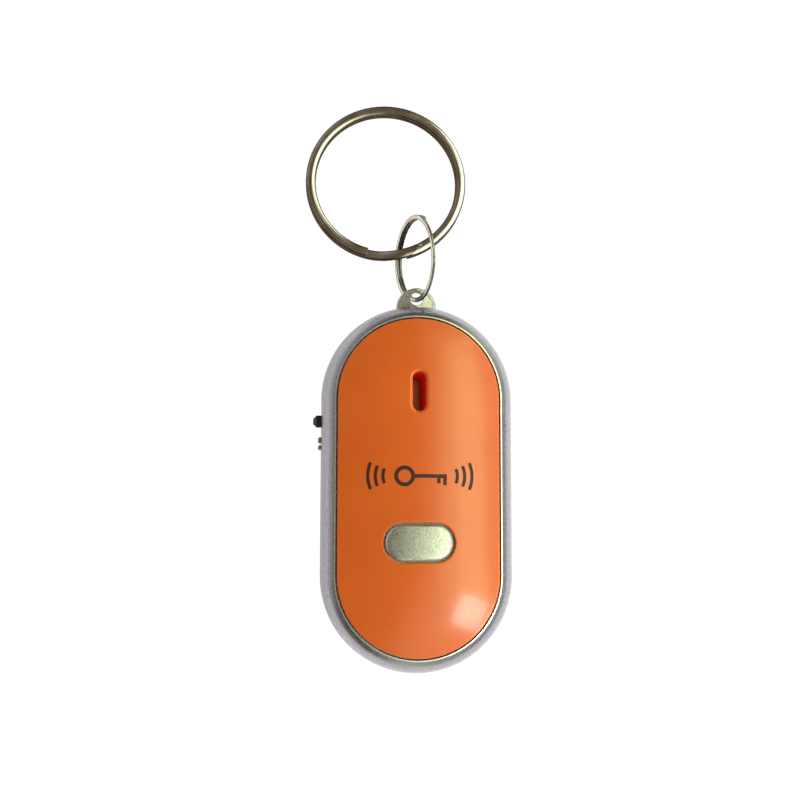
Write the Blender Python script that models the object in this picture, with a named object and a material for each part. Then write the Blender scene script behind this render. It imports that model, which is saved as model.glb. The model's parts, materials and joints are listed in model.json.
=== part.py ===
"""Electronic key finder: a stadium-shaped case with a sounder inside, on a split key ring.

The finder lies on its back. Its origin is the centre of the flat rear face, +Z points out
of the front panel, +Y along the case towards the key ring, and +X to the right seen from
the front. Sizes below are in millimetres; the mesh helpers turn them into metres.
"""

import math

import bmesh
import bpy
from mathutils import Matrix, Vector

MM = 0.001

# Case
STRAIGHT = 13.1  # half the straight run of every stadium outline of the case
CASE_RADIUS = 14.4
BASE_RADIUS = 12.0  # of the flat rear face
LIP_RADIUS = 12.6  # crest of the frame
OPENING_RADIUS = 12.3  # the frame's opening for the panel
LIP_CHAMFER = 0.28
WALL = 1.2
WIDEST_Z = 5.4
CREST_Z = 9.5
PARTING_Z = 4.3
PARTING_GAP = 0.2
LEDGE_Z = 7.6
LEDGE_RADIUS = 11.4  # of the frame's ledge under the panel's skirt
FRAME_INSIDE_RADIUS = 13.1
ARC_STEPS = 14  # segments in each round end

# Front panel
PANEL_RADIUS = 12.05
PANEL_EDGE_RADIUS = 11.6
PANEL_EDGE_Z = 9.82
PANEL_RISE = 1.08
PANEL_WALL = 1.2
SKIRT_Z = 7.8
SKIRT_INSIDE_RADIUS = 10.9
SLOT_Y = 14.07
SLOT_RADIUS = 1.025
SLOT_STRAIGHT = 1.915
TUBE_WALL = 0.85
TUBE_END_Z = 3.1  # the slot's tube reaches down to the sounder

# Eye tab
TAB_Y = 27.45
TAB_RADIUS = 2.95
TAB_THICKNESS = 1.7
TAB_EDGE = 0.25
HOLE_Y = 28.75
HOLE_RADIUS = 1.0

# Push button
BUTTON_Y = -8.25
BUTTON_RADIUS = 2.67
BUTTON_STRAIGHT = 2.38
BUTTON_TOP_Z = 11.2
BUTTON_FLANGE = 0.58
FLANGE_Z = (8.75, 9.25)
BUTTON_GAP = 0.23
TACT_SIZE = 4.5
TACT_TOP_Z = 8.1
PLUNGER_RADIUS = 0.85
PLUNGER_Z = (7.62, 8.62)

# Side switch
LEVER_Y = 9.9
LEVER_WIDTH = 1.75
LEVER_TIP_X = -15.58
LEVER_Z = (4.3, 5.6)
LEVER_TRAVEL = 2.0
LEVER_GAP = 0.25
LEVER_TIP_CHAMFER = 0.42
SWITCH_CAN = ((-12.3, 3.7), (-8.6, 5.85))  # corners across and up
SWITCH_MARK = ((-15.1, 5.6, 4.6), (-13.9, 7.5, 6.0))

# Board
BOARD_Z = (5.9, 6.7)
BOARD_RADIUS = 10.9
CHIP_PLACE = (0.0, 3.2)
MICROPHONE_PLACE = (-5.4, 12.5)
LAMP_PLACE = (4.0, 14.07)
COIL_PLACE = (5.4, 7.5)

# Screws
SCREW_PLACES = ((0.0, 22.6), (9.6, -1.0), (-9.6, -1.0))
SCREW_SHANK = 0.7
SCREW_HEAD = 1.45
SCREW_RECESS = 0.95  # half length of each arm of the cross recess
COUNTERBORE_Z = 1.5
HEAD_Z = (0.35, 1.35)
SCREW_END_Z = 8.7
COLUMN_RADIUS = 2.3
BOSS_RADIUS = 1.7

# Cell and door
CELL_Y = -13.1
CELL_RADIUS = 10.0
CELL_Z = (1.5, 4.7)
CONTACT_SHEET = 0.25
DOOR_RADIUS = 10.85
DOOR_GAP = 0.25
COIN_SLOT = (10.4, 1.7, 0.65)  # length, width and depth

# Sounder
SOUNDER_Y = 12.5
SOUNDER_RADIUS = 7.4
RIB_Z = 2.25
RIB_WALL = 0.8
DISC_RADIUS = 7.2
CERAMIC_RADIUS = 5.4
WIRE_RADIUS = 0.28
SOUND_HOLE_RADIUS = 0.6
SOUND_HOLE_RING = 2.6

# Rings
COIL_GAP = 0.05
LINK_CENTRE = (-0.2, 34.87, 6.48)
LINK_RADIUS = 6.28
LINK_TILT = 70.1  # of the ring's axis from vertical, degrees
LINK_HEADING = 182.5  # of the ring's axis about Z, degrees
LINK_WIRE = (0.75, 0.5)  # radial width and axial thickness
KEY_CENTRE = (-4.48, 47.78)
KEY_OUTER_RADIUS = 12.5
KEY_WIRE = (1.55, 0.9)
KEY_NEAR_ANGLE = -72.5  # direction from the key ring's centre to the link ring, degrees
KEY_LIFT = 1.5  # how much its near side is raised


# Helpers


def finish(name, colour, roughness, metallic):
    """A Principled material."""
    made = bpy.data.materials.new(name)
    made.use_nodes = True
    shader = made.node_tree.nodes["Principled BSDF"]
    shader.inputs["Base Color"].default_value = (*colour, 1.0)
    shader.inputs["Roughness"].default_value = roughness
    shader.inputs["Metallic"].default_value = metallic
    return made


def mesh_object(name, bm, look=None, location=(0, 0, 0), parent=None):
    """An object from a bmesh in millimetres, with its faces pointing out."""
    bmesh.ops.recalc_face_normals(bm, faces=bm.faces)
    bmesh.ops.scale(bm, vec=(MM, MM, MM), verts=bm.verts)
    mesh = bpy.data.meshes.new(name)
    bm.to_mesh(mesh)
    bm.free()
    mesh.shade_smooth()
    mesh.set_sharp_from_angle(angle=math.radians(35))
    made = bpy.data.objects.new(name, mesh)
    bpy.context.collection.objects.link(made)
    made.location = Vector(location) * MM
    made.parent = parent
    if look:
        mesh.materials.append(look)
    return made


def empty(name, location, parent):
    """A pivot."""
    made = bpy.data.objects.new(name, None)
    bpy.context.collection.objects.link(made)
    made.location = Vector(location) * MM
    made.parent = parent
    return made


def outline(radius, straight, steps):
    """Points of a stadium whose straight sides run along Y, or of a circle."""
    points = []
    for end in (1, -1):
        first = 0 if end > 0 else math.pi
        count = steps if straight == 0 else steps + 1
        for i in range(count):
            turn = first + math.pi * i / steps
            points.append((radius * math.cos(turn), end * straight + radius * math.sin(turn)))
    return points


def loft(rows, straight=0.0, steps=ARC_STEPS, closed=False, centre=(0, 0)):
    """A bmesh through one outline per (radius, z) row, capped unless it closes on itself."""
    bm = bmesh.new()
    rings = []
    for radius, z in rows:
        points = outline(radius, straight, steps)
        rings.append([bm.verts.new((centre[0] + x, centre[1] + y, z)) for x, y in points])
    pairs = list(zip(rings, rings[1:]))
    if closed:
        pairs.append((rings[-1], rings[0]))
    for low, high in pairs:
        for i in range(len(low)):
            j = (i + 1) % len(low)
            bm.faces.new((low[i], low[j], high[j], high[i]))
    if not closed:
        bm.faces.new(rings[0])
        bm.faces.new(rings[-1])
    return bm


def block(low, high, bevel=0.0, segments=1):
    """A bmesh box between two corners, with its edges bevelled."""
    bm = bmesh.new()
    bmesh.ops.create_cube(bm, size=1.0)
    size = Vector(high) - Vector(low)
    bmesh.ops.scale(bm, vec=size, verts=bm.verts)
    bmesh.ops.translate(bm, vec=(Vector(high) + Vector(low)) / 2, verts=bm.verts)
    if bevel:
        bmesh.ops.bevel(
            bm,
            geom=bm.edges[:],
            offset=bevel,
            segments=segments,
            profile=0.5,
            affect="EDGES",
            material=-1,
        )
    return bm


def boolean(target, tool, operation):
    """Adds or removes a hidden helper's shape."""
    tool.hide_render = True
    tool.display_type = "WIRE"
    step = target.modifiers.new(tool.name, "BOOLEAN")
    step.operation = operation
    step.solver = "EXACT"
    step.object = tool


def cut(target, name, bm):
    """Takes a shape away from an object."""
    boolean(target, mesh_object(name, bm, parent=target.parent), "DIFFERENCE")


def add(target, name, bm):
    """Joins a shape to an object."""
    boolean(target, mesh_object(name, bm, parent=target.parent), "UNION")


def smooth_step(value):
    """Eases from 0 to 1."""
    value = min(max(value, 0.0), 1.0)
    return value * value * (3 - 2 * value)


def split_ring(radius, wire, angles, jog, steps):
    """A bmesh of flat wire wound into two layers, about Z.

    angles are where the wire starts and ends, and jog where it climbs from the lower to
    the upper layer, all in degrees along the wire.
    """
    width, thickness = wire
    half_w, half_t = width / 2, thickness / 2
    chamfer = min(half_w, half_t) * 0.35
    section = []
    for side_w, side_t in ((1, -1), (1, 1), (-1, 1), (-1, -1)):
        corners = [
            (side_w * half_w, side_t * (half_t - chamfer)),
            (side_w * (half_w - chamfer), side_t * half_t),
        ]
        section += corners if side_w * side_t > 0 else corners[::-1]
    pitch = thickness + COIL_GAP
    bm = bmesh.new()
    rings = []
    for i in range(steps + 1):
        angle = angles[0] + (angles[1] - angles[0]) * i / steps
        level = pitch * (smooth_step((angle - jog[0]) / (jog[1] - jog[0])) - 0.5)
        turn = math.radians(angle)
        along = Vector((math.cos(turn), math.sin(turn), 0))
        ring = [along * (radius + w) + Vector((0, 0, level + t)) for w, t in section]
        rings.append([bm.verts.new(point) for point in ring])
    for first, second in zip(rings, rings[1:]):
        for i in range(len(first)):
            j = (i + 1) % len(first)
            bm.faces.new((first[i], first[j], second[j], second[i]))
    bm.faces.new(rings[0])
    bm.faces.new(rings[-1])
    return bm


# Case


def case_radius(z):
    """Outer radius of the case's round ends at a height."""
    if z <= WIDEST_Z:
        reach = math.sqrt(1 - ((WIDEST_Z - z) / WIDEST_Z) ** 2)
        return BASE_RADIUS + (CASE_RADIUS - BASE_RADIUS) * reach
    reach = math.sqrt(max(0.0, 1 - ((z - WIDEST_Z) / (CREST_Z - WIDEST_Z)) ** 2))
    return LIP_RADIUS + (CASE_RADIUS - LIP_RADIUS) * reach


def lever_slot():
    """The slot in the case's side that the lever slides in."""
    low_y = LEVER_Y - LEVER_WIDTH / 2 - LEVER_GAP
    high_y = LEVER_Y + LEVER_TRAVEL + LEVER_WIDTH / 2 + LEVER_GAP
    return block((-16, low_y, LEVER_Z[0] - LEVER_GAP), (-12.6, high_y, LEVER_Z[1] + LEVER_GAP))


def make_rear_shell(case, silver):
    """The rear shell: a tub with screw columns, the sounder's rib and holes through its floor."""
    inner = [(case_radius(z) - WALL, z) for z in (WALL, 2.0, 3.0, PARTING_Z)]
    outer = [(case_radius(z), z) for z in (PARTING_Z, 3.2, 2.2, 1.4, 0.75, 0.3, 0.07, 0.0)]
    shell = mesh_object("rear_shell", loft(inner + outer, STRAIGHT), silver, parent=case)
    root = 0.8  # columns and rib start inside the floor, so that they join it
    column = [(COLUMN_RADIUS, root - 0.2), (COLUMN_RADIUS, BOARD_Z[0] - 0.15)]
    for i, place in enumerate(SCREW_PLACES):
        add(shell, f"column_{i}", loft(column, steps=8, centre=place))
    rib_inside = SOUNDER_RADIUS - RIB_WALL
    rib = [(SOUNDER_RADIUS, root), (SOUNDER_RADIUS, RIB_Z), (rib_inside, RIB_Z), (rib_inside, root)]
    add(shell, "sounder_rib", loft(rib, steps=12, closed=True, centre=(0, SOUNDER_Y)))
    shank = SCREW_SHANK + 0.25
    head = SCREW_HEAD + 0.2
    bore = [(head, -1), (head, COUNTERBORE_Z), (shank, COUNTERBORE_Z), (shank, 7)]
    for i, place in enumerate(SCREW_PLACES):
        cut(shell, f"screw_hole_{i}", loft(bore, steps=8, centre=place))
    opening = [(DOOR_RADIUS + DOOR_GAP, -1), (DOOR_RADIUS + DOOR_GAP, 2)]
    cut(shell, "door_opening", loft(opening, steps=16, centre=(0, CELL_Y)))
    for i in range(7):
        turn = math.radians(60 * i)
        reach = SOUND_HOLE_RING if i else 0.0
        centre = (reach * math.cos(turn), SOUNDER_Y + reach * math.sin(turn))
        hole = [(SOUND_HOLE_RADIUS, -1), (SOUND_HOLE_RADIUS, 2)]
        cut(shell, f"sound_hole_{i}", loft(hole, steps=5, centre=centre))
    cut(shell, "lever_slot_in_shell", lever_slot())


def make_front_frame(case, silver):
    """The rim round the panel, with the ledge that carries it, the eye tab and a small mark."""
    outer_z = (PARTING_Z + PARTING_GAP, WIDEST_Z, 6.3, 7.1, 7.8, 8.4, 8.9, 9.25, 9.44, CREST_Z)
    outer = [(case_radius(z), z) for z in outer_z]
    inner = [
        (OPENING_RADIUS, CREST_Z - LIP_CHAMFER),
        (OPENING_RADIUS, LEDGE_Z),
        (LEDGE_RADIUS, LEDGE_Z),
        (LEDGE_RADIUS, 6.9),
        (FRAME_INSIDE_RADIUS, 6.2),
        (FRAME_INSIDE_RADIUS, PARTING_Z + PARTING_GAP),
    ]
    shape = loft(outer + inner, STRAIGHT, closed=True)
    frame = mesh_object("front_frame", shape, silver, parent=case)
    low, high = WIDEST_Z - TAB_THICKNESS / 2, WIDEST_Z + TAB_THICKNESS / 2
    tab = [
        (TAB_RADIUS - TAB_EDGE, low),
        (TAB_RADIUS, low + TAB_EDGE),
        (TAB_RADIUS, high - TAB_EDGE),
        (TAB_RADIUS - TAB_EDGE, high),
    ]
    disc = loft(tab, steps=12, centre=(0, TAB_Y))
    root_y = TAB_Y - 0.5
    for vert in disc.verts:
        vert.co.y = max(vert.co.y, root_y)
    bmesh.ops.remove_doubles(disc, verts=disc.verts, dist=0.001)
    add(frame, "eye_tab", disc)
    hole = [(HOLE_RADIUS, 3), (HOLE_RADIUS, 8)]
    cut(frame, "eye_hole", loft(hole, steps=10, centre=(0, HOLE_Y)))
    cut(frame, "lever_slot_in_frame", lever_slot())
    add(frame, "switch_mark", block(SWITCH_MARK[0], SWITCH_MARK[1], 0.3))


def make_front_panel(case, orange):
    """The domed panel with its skirt, screw bosses, sound slot and tube, and button hole."""

    def dome(radius):
        """Height of the panel's outside at a distance from the centre line."""
        return PANEL_EDGE_Z + PANEL_RISE * (1 - (radius / PANEL_EDGE_RADIUS) ** 2)

    under = [(r, dome(r) - PANEL_WALL) for r in (0.6, 4.0, 7.0, 9.0, 10.5)]
    skirt = [
        (SKIRT_INSIDE_RADIUS, 8.5),
        (SKIRT_INSIDE_RADIUS, SKIRT_Z),
        (PANEL_RADIUS, SKIRT_Z),
        (PANEL_RADIUS, 9.5),
        (PANEL_RADIUS - 0.15, 9.7),
    ]
    top = [(r, dome(r)) for r in (PANEL_EDGE_RADIUS, 10.6, 9.0, 7.0, 5.0, 2.8, 0.6)]
    panel = mesh_object("front_panel", loft(under + skirt + top, STRAIGHT), orange, parent=case)
    for i, (x, y) in enumerate(SCREW_PLACES):
        boss = loft([(BOSS_RADIUS, BOARD_Z[1] + 0.15), (BOSS_RADIUS, 9.5)], steps=7, centre=(x, y))
        add(panel, f"boss_{i}", boss)
        pilot = loft([(SCREW_SHANK + 0.1, 6), (SCREW_SHANK + 0.1, 9.1)], steps=6, centre=(x, y))
        cut(panel, f"pilot_{i}", pilot)
    tube_radius = SLOT_RADIUS + TUBE_WALL
    tube = [(tube_radius, TUBE_END_Z), (tube_radius, 10.0)]
    add(panel, "sound_tube", loft(tube, SLOT_STRAIGHT, steps=8, centre=(0, SLOT_Y)))
    slot = [(SLOT_RADIUS, 2), (SLOT_RADIUS, 13)]
    cut(panel, "sound_slot", loft(slot, SLOT_STRAIGHT, steps=8, centre=(0, SLOT_Y)))
    hole_radius = BUTTON_RADIUS + BUTTON_GAP
    hole = loft([(hole_radius, 7), (hole_radius, 13)], BUTTON_STRAIGHT, steps=8)
    bmesh.ops.rotate(hole, verts=hole.verts, matrix=Matrix.Rotation(math.pi / 2, 3, "Z"))
    bmesh.ops.translate(hole, verts=hole.verts, vec=(0, BUTTON_Y, 0))
    cut(panel, "button_hole", hole)


def make_screws(case, steel):
    """Three self-tapping screws with a cross recess, put in from the rear."""
    for i, place in enumerate(SCREW_PLACES):
        low, high = HEAD_Z
        rows = [
            (SCREW_HEAD - 0.2, low),
            (SCREW_HEAD, low + 0.2),
            (SCREW_HEAD, high),
            (SCREW_SHANK, high),
            (SCREW_SHANK, SCREW_END_Z - 0.5),
            (0.15, SCREW_END_Z),
        ]
        screw = mesh_object(f"case_screw_{i + 1}", loft(rows, steps=7), steel, (*place, 0), case)
        for name, size in (("across", (SCREW_RECESS, 0.2)), ("along", (0.2, SCREW_RECESS))):
            recess = block((-size[0], -size[1], low - 0.5), (size[0], size[1], low + 0.55))
            bmesh.ops.translate(recess, verts=recess.verts, vec=(*place, 0))
            cut(screw, f"recess_{name}_{i}", recess)


# Button, switches and board


def make_button(case, silver, steel, black):
    """The pill button, held by its flange, over a tact switch on the board."""
    flange_radius = BUTTON_RADIUS + BUTTON_FLANGE
    low, high = FLANGE_Z
    top = BUTTON_TOP_Z
    rows = [
        (flange_radius, low - high),
        (flange_radius, 0),
        (BUTTON_RADIUS, 0),
        (BUTTON_RADIUS, top - 0.35 - high),
        (BUTTON_RADIUS - 0.1, top - 0.12 - high),
        (BUTTON_RADIUS - 0.35, top - high),
    ]
    shape = loft(rows, BUTTON_STRAIGHT, steps=8)
    bmesh.ops.rotate(shape, verts=shape.verts, matrix=Matrix.Rotation(math.pi / 2, 3, "Z"))
    mesh_object("push_button", shape, silver, (0, BUTTON_Y, high), case)

    half = TACT_SIZE / 2
    floor = BOARD_Z[1] + 0.05
    body = mesh_object(
        "tact_switch_body",
        block((-half, BUTTON_Y - half, floor), (half, BUTTON_Y + half, TACT_TOP_Z), 0.2),
        steel,
        parent=case,
    )
    well = PLUNGER_RADIUS + 0.15
    cut(body, "plunger_hole", loft([(well, 7.2), (well, 9)], steps=8, centre=(0, BUTTON_Y)))
    plunger = loft([(PLUNGER_RADIUS, 0), (PLUNGER_RADIUS, PLUNGER_Z[1] - PLUNGER_Z[0])], steps=8)
    mesh_object("tact_switch_plunger", plunger, black, (0, BUTTON_Y, PLUNGER_Z[0]), case)


def make_side_switch(case, steel, black):
    """The slide switch: its can on the board, and the lever that sticks out of the case."""
    low_y = LEVER_Y - LEVER_WIDTH / 2
    high_y = LEVER_Y + LEVER_TRAVEL + LEVER_WIDTH / 2
    can = mesh_object(
        "slide_switch_case",
        block(
            (SWITCH_CAN[0][0], low_y - 1.6, SWITCH_CAN[0][1]),
            (SWITCH_CAN[1][0], high_y + 1.6, SWITCH_CAN[1][1]),
            0.15,
        ),
        steel,
        parent=case,
    )
    gap = 0.15
    channel = block(
        (-13, low_y - gap - 0.5, LEVER_Z[0] - gap), (-9.6, high_y + gap + 0.5, LEVER_Z[1] + gap)
    )
    cut(can, "lever_channel", channel)

    half = LEVER_WIDTH / 2
    middle = sum(LEVER_Z) / 2
    height = (LEVER_Z[1] - LEVER_Z[0]) / 2
    shape = block((LEVER_TIP_X, -half, -height), (-10.0, half, height))
    tip = [e for e in shape.edges if all(v.co.x < LEVER_TIP_X + 0.01 for v in e.verts)]
    bmesh.ops.bevel(
        shape,
        geom=tip,
        offset=LEVER_TIP_CHAMFER,
        segments=2,
        profile=0.5,
        affect="EDGES",
        material=-1,
    )
    mesh_object("power_switch_lever", shape, black, (0, LEVER_Y, middle), case)


def make_board(case, finishes):
    """The circuit board and the parts on its front: chip, microphone, lamp and coil."""
    low, high = BOARD_Z
    sheet = loft([(BOARD_RADIUS, low), (BOARD_RADIUS, high)], STRAIGHT, 10)
    board = mesh_object("circuit_board", sheet, finishes["board"], parent=case)
    for i, place in enumerate(SCREW_PLACES):
        cut(board, f"board_hole_{i}", loft([(1.0, 5), (1.0, 8)], steps=7, centre=place))
    tube_hole = SLOT_RADIUS + TUBE_WALL + 0.35
    opening = loft([(tube_hole, 5), (tube_hole, 8)], SLOT_STRAIGHT, steps=8, centre=(0, SLOT_Y))
    cut(board, "tube_opening", opening)

    base = high + 0.05
    blob = [(2.6, base), (2.4, base + 0.35), (1.7, base + 0.7), (0.6, base + 0.85)]
    mesh_object("sound_chip", loft(blob, steps=8), finishes["black"], (*CHIP_PLACE, 0), case)

    can = [(2.0, base), (2.0, base + 1.15), (1.85, base + 1.3)]
    mesh_object("microphone", loft(can, steps=8), finishes["steel"], (*MICROPHONE_PLACE, 0), case)
    felt = [(1.7, base + 1.35), (1.7, base + 1.6)]
    mesh_object("microphone_felt", loft(felt, steps=8), finishes["felt"], (*MICROPHONE_PLACE, 0), case)

    lamp = [
        (1.7, base),
        (1.7, base + 0.6),
        (1.4, base + 0.6),
        (1.4, base + 1.5),
        (1.1, base + 2.15),
        (0.4, base + 2.5),
    ]
    mesh_object("signal_led", loft(lamp, steps=8), finishes["red"], (*LAMP_PLACE, 0), case)

    coil = [
        (1.9, base),
        (1.9, base + 0.4),
        (1.5, base + 0.5),
        (1.5, base + 1.6),
        (1.9, base + 1.7),
        (1.9, base + 2.1),
    ]
    mesh_object("boost_coil", loft(coil, steps=8), finishes["black"], (*COIL_PLACE, 0), case)


# Power and sounder


def make_power(case, finishes):
    """The coin cell, its two contacts and the door over it."""
    low, high = CELL_Z
    cell = [
        (8.2, low),
        (CELL_RADIUS - 0.2, low),
        (CELL_RADIUS, low + 0.25),
        (CELL_RADIUS, high - 0.35),
        (CELL_RADIUS - 0.4, high - 0.3),
        (8.4, high),
    ]
    mesh_object("coin_cell", loft(cell, steps=16), finishes["steel"], (0, CELL_Y, 0), case)

    beside = CELL_Y + CELL_RADIUS + 0.325
    board_under = BOARD_Z[0] - 0.05
    strip = block((-2, beside, 2.4), (2, beside + CONTACT_SHEET, 5.8))
    mesh_object("positive_contact", strip, finishes["gold"], parent=case)

    leaf = block((-1.5, CELL_Y - 4, 4.8), (1.5, CELL_Y + 3, 5.0))
    contact = mesh_object("negative_contact", leaf, finishes["gold"], parent=case)
    add(contact, "contact_foot", block((-1.5, CELL_Y + 2.2, 4.85), (1.5, CELL_Y + 3, board_under)))

    door_pivot = empty("battery_door_pivot", (0, CELL_Y, 0), case)
    rows = [(DOOR_RADIUS - 0.15, 0), (DOOR_RADIUS, 0.15), (DOOR_RADIUS, WALL)]
    door = mesh_object("battery_door", loft(rows, steps=16), finishes["silver"], parent=door_pivot)
    length, width, depth = COIN_SLOT
    slot = block((-length / 2, -width / 2, -1), (length / 2, width / 2, depth))
    cut(door, "coin_slot", slot)


def make_sounder(case, finishes):
    """The sounder's brass disc with ceramic under it, and its two wires up to the board."""
    place = (0, SOUNDER_Y, 0)
    brass = [(DISC_RADIUS, RIB_Z + 0.1), (DISC_RADIUS, RIB_Z + 0.3)]
    mesh_object("sounder_disc", loft(brass, steps=12), finishes["gold"], place, case)
    ceramic = [(CERAMIC_RADIUS, RIB_Z - 0.15), (CERAMIC_RADIUS, RIB_Z + 0.05)]
    mesh_object("sounder_ceramic", loft(ceramic, steps=12), finishes["white"], place, case)
    starts = {"red": (2.6, -4.6), "black": (4.6, -4.2)}
    for colour, (x, along) in starts.items():
        start = (x, SOUNDER_Y + along, RIB_Z + 0.65)
        curve = bpy.data.curves.new(f"sounder_wire_{colour}", "CURVE")
        curve.dimensions = "3D"
        curve.bevel_depth = WIRE_RADIUS * MM
        curve.bevel_resolution = 2
        curve.use_fill_caps = True
        spline = curve.splines.new("POLY")
        count = 12
        spline.points.add(count - 1)
        for i in range(count):
            part = i / (count - 1)
            low = Vector(start)
            high = Vector((start[0], start[1] - 7.5, BOARD_Z[0] - 0.35))
            place = low.lerp(high, part)
            place.z = low.z + (high.z - low.z) * smooth_step(part)
            spline.points[i].co = (*(place * MM), 1.0)
        wire = bpy.data.objects.new(f"sounder_wire_{colour}", curve)
        curve.materials.append(finishes[colour])
        bpy.context.collection.objects.link(wire)
        wire.parent = case


# Rings


def make_rings(case, nickel):
    """The small ring through the eye tab, and the key ring that hangs through it."""
    hole = Vector((0, HOLE_Y, WIDEST_Z))
    link_pivot = empty("link_ring_pivot", hole, case)
    tilt, heading = math.radians(LINK_TILT), math.radians(LINK_HEADING)
    across = Vector((math.cos(heading), math.sin(heading), 0))
    axis = across * math.sin(tilt) + Vector((0, 0, math.cos(tilt)))
    near = Vector((-math.sin(heading), math.cos(heading), 0))
    turn = Matrix((near, axis.cross(near), axis)).transposed()
    shape = split_ring(LINK_RADIUS, LINK_WIRE, (150, 684), (345, 505), 42)
    bmesh.ops.rotate(shape, verts=shape.verts, matrix=turn)
    bmesh.ops.translate(shape, verts=shape.verts, vec=Vector(LINK_CENTRE) - hole)
    mesh_object("link_ring", shape, nickel, parent=link_pivot)

    radius = KEY_OUTER_RADIUS - KEY_WIRE[0] / 2
    lean = math.asin(KEY_LIFT / (2 * KEY_OUTER_RADIUS))
    toward = math.radians(KEY_NEAR_ANGLE)
    near = Vector((math.cos(toward), math.sin(toward), 0))
    side = Vector((0, 0, 1)).cross(near)
    turn = Matrix.Rotation(-lean, 3, side)
    half_height = KEY_WIRE[1] + COIL_GAP / 2
    rise = KEY_OUTER_RADIUS * math.sin(lean) + half_height * math.cos(lean) + 0.03
    centre = Vector((*KEY_CENTRE, rise))
    pivot = centre + turn @ near * radius
    key_pivot = empty("key_ring_pivot", pivot - hole, link_pivot)
    start = KEY_NEAR_ANGLE - 2
    shape = split_ring(radius, KEY_WIRE, (start, start + 690), (start + 330, start + 360), 69)
    bmesh.ops.rotate(shape, verts=shape.verts, matrix=turn)
    bmesh.ops.translate(shape, verts=shape.verts, vec=centre - pivot)
    mesh_object("key_ring", shape, nickel, parent=key_pivot)


def main():
    """Builds every part at rest."""
    for old in list(bpy.data.objects):
        bpy.data.objects.remove(old)
    finishes = {
        "silver": finish("silver paint", (0.55, 0.54, 0.55), 0.35, 0.75),
        "orange": finish("orange gloss", (0.65, 0.10, 0.015), 0.15, 0.0),
        "black": finish("black plastic", (0.015, 0.015, 0.017), 0.4, 0.0),
        "nickel": finish("polished nickel", (0.55, 0.53, 0.46), 0.12, 1.0),
        "steel": finish("steel", (0.6, 0.6, 0.6), 0.3, 1.0),
        "gold": finish("brass", (0.75, 0.55, 0.25), 0.3, 1.0),
        "board": finish("circuit board green", (0.02, 0.18, 0.06), 0.45, 0.0),
        "felt": finish("black felt", (0.03, 0.03, 0.03), 0.95, 0.0),
        "red": finish("red plastic", (0.6, 0.02, 0.02), 0.2, 0.0),
        "white": finish("ceramic", (0.85, 0.83, 0.78), 0.5, 0.0),
    }
    case = empty("case_origin", (0, 0, 0), None)
    make_rear_shell(case, finishes["silver"])
    make_front_frame(case, finishes["silver"])
    make_front_panel(case, finishes["orange"])
    make_screws(case, finishes["steel"])
    make_button(case, finishes["silver"], finishes["steel"], finishes["black"])
    make_side_switch(case, finishes["steel"], finishes["black"])
    make_board(case, finishes)
    make_power(case, finishes)
    make_sounder(case, finishes)
    make_rings(case, finishes["nickel"])


main()
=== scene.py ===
"""Looks of an electronic key finder on a split key ring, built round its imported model.

Sizes are in millimetres, in the model's own frame: the finder lies on its back, +Z points out
of its front panel, +Y along the case towards the key ring. Meshes turn them into metres.
"""

import json
import logging
import math
from collections.abc import Sequence
from dataclasses import dataclass, field
from enum import Enum

import bmesh
import bpy
from mathutils import Matrix, Vector


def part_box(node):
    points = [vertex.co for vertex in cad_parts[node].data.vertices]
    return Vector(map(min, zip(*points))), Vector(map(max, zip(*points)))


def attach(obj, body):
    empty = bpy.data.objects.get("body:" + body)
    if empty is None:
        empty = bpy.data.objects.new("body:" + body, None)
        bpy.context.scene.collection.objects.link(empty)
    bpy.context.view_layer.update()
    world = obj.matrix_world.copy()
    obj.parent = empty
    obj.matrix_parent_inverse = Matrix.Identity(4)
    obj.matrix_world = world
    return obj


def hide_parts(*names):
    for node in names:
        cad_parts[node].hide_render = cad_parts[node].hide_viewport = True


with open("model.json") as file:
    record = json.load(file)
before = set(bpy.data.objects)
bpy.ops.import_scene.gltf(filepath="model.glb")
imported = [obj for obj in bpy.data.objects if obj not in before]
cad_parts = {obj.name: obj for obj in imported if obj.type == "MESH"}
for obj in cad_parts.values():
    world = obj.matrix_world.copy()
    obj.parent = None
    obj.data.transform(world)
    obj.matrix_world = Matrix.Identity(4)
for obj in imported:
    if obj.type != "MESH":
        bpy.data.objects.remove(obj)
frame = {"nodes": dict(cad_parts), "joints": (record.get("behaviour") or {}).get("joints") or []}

Pair = tuple[float, float]
Triple = tuple[float, float, float]
Profile = list[Pair]
Shape = bmesh.types.BMesh
Socket = bpy.types.NodeSocket

MM = 0.001
LOG = logging.getLogger("key_finder")
SCREWS = ("case_screw_1", "case_screw_2", "case_screw_3")
# Nearly all of a noise pattern's values lie between these two.
NOISE_SPAN = (0.3, 0.7)


class Body(Enum):
    """The moving groups that a piece can ride on."""

    CASE = "case"
    BUTTON = "button"
    LEVER = "power_lever"
    DOOR = "cell_door"
    LINK_RING = "link_ring"
    KEY_RING = "key_ring"


class Axis(Enum):
    """The direction of a stadium outline's straight sides."""

    ALONG_Y = 0.0
    ALONG_X = math.pi / 2


class Mixing(Enum):
    """How one colour is laid on another."""

    PLAIN = "MIX"
    MULTIPLIED = "MULTIPLY"


class CellValue(Enum):
    """What a pattern of cells gives."""

    COLOUR = "Color"
    DISTANCE = "Distance"


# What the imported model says


def node_box(node: str) -> tuple[Vector, Vector]:
    """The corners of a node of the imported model, in millimetres.

    Args:
        node: the node's name.

    Returns:
        Its lowest and highest corner.
    """
    low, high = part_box(node)
    return low / MM, high / MM


def node_middle(node: str) -> Vector:
    """The middle of a node's box, in millimetres."""
    low, high = node_box(node)
    return (low + high) / 2


def joint_record(name: str) -> dict:
    """The model's record of a joint."""
    return next(joint for joint in frame["joints"] if joint["name"] == name)


def joint_place(name: str) -> Vector:
    """The point that a joint turns about at rest, in millimetres."""
    return Vector(joint_record(name)["pos_m"]) / MM


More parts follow.
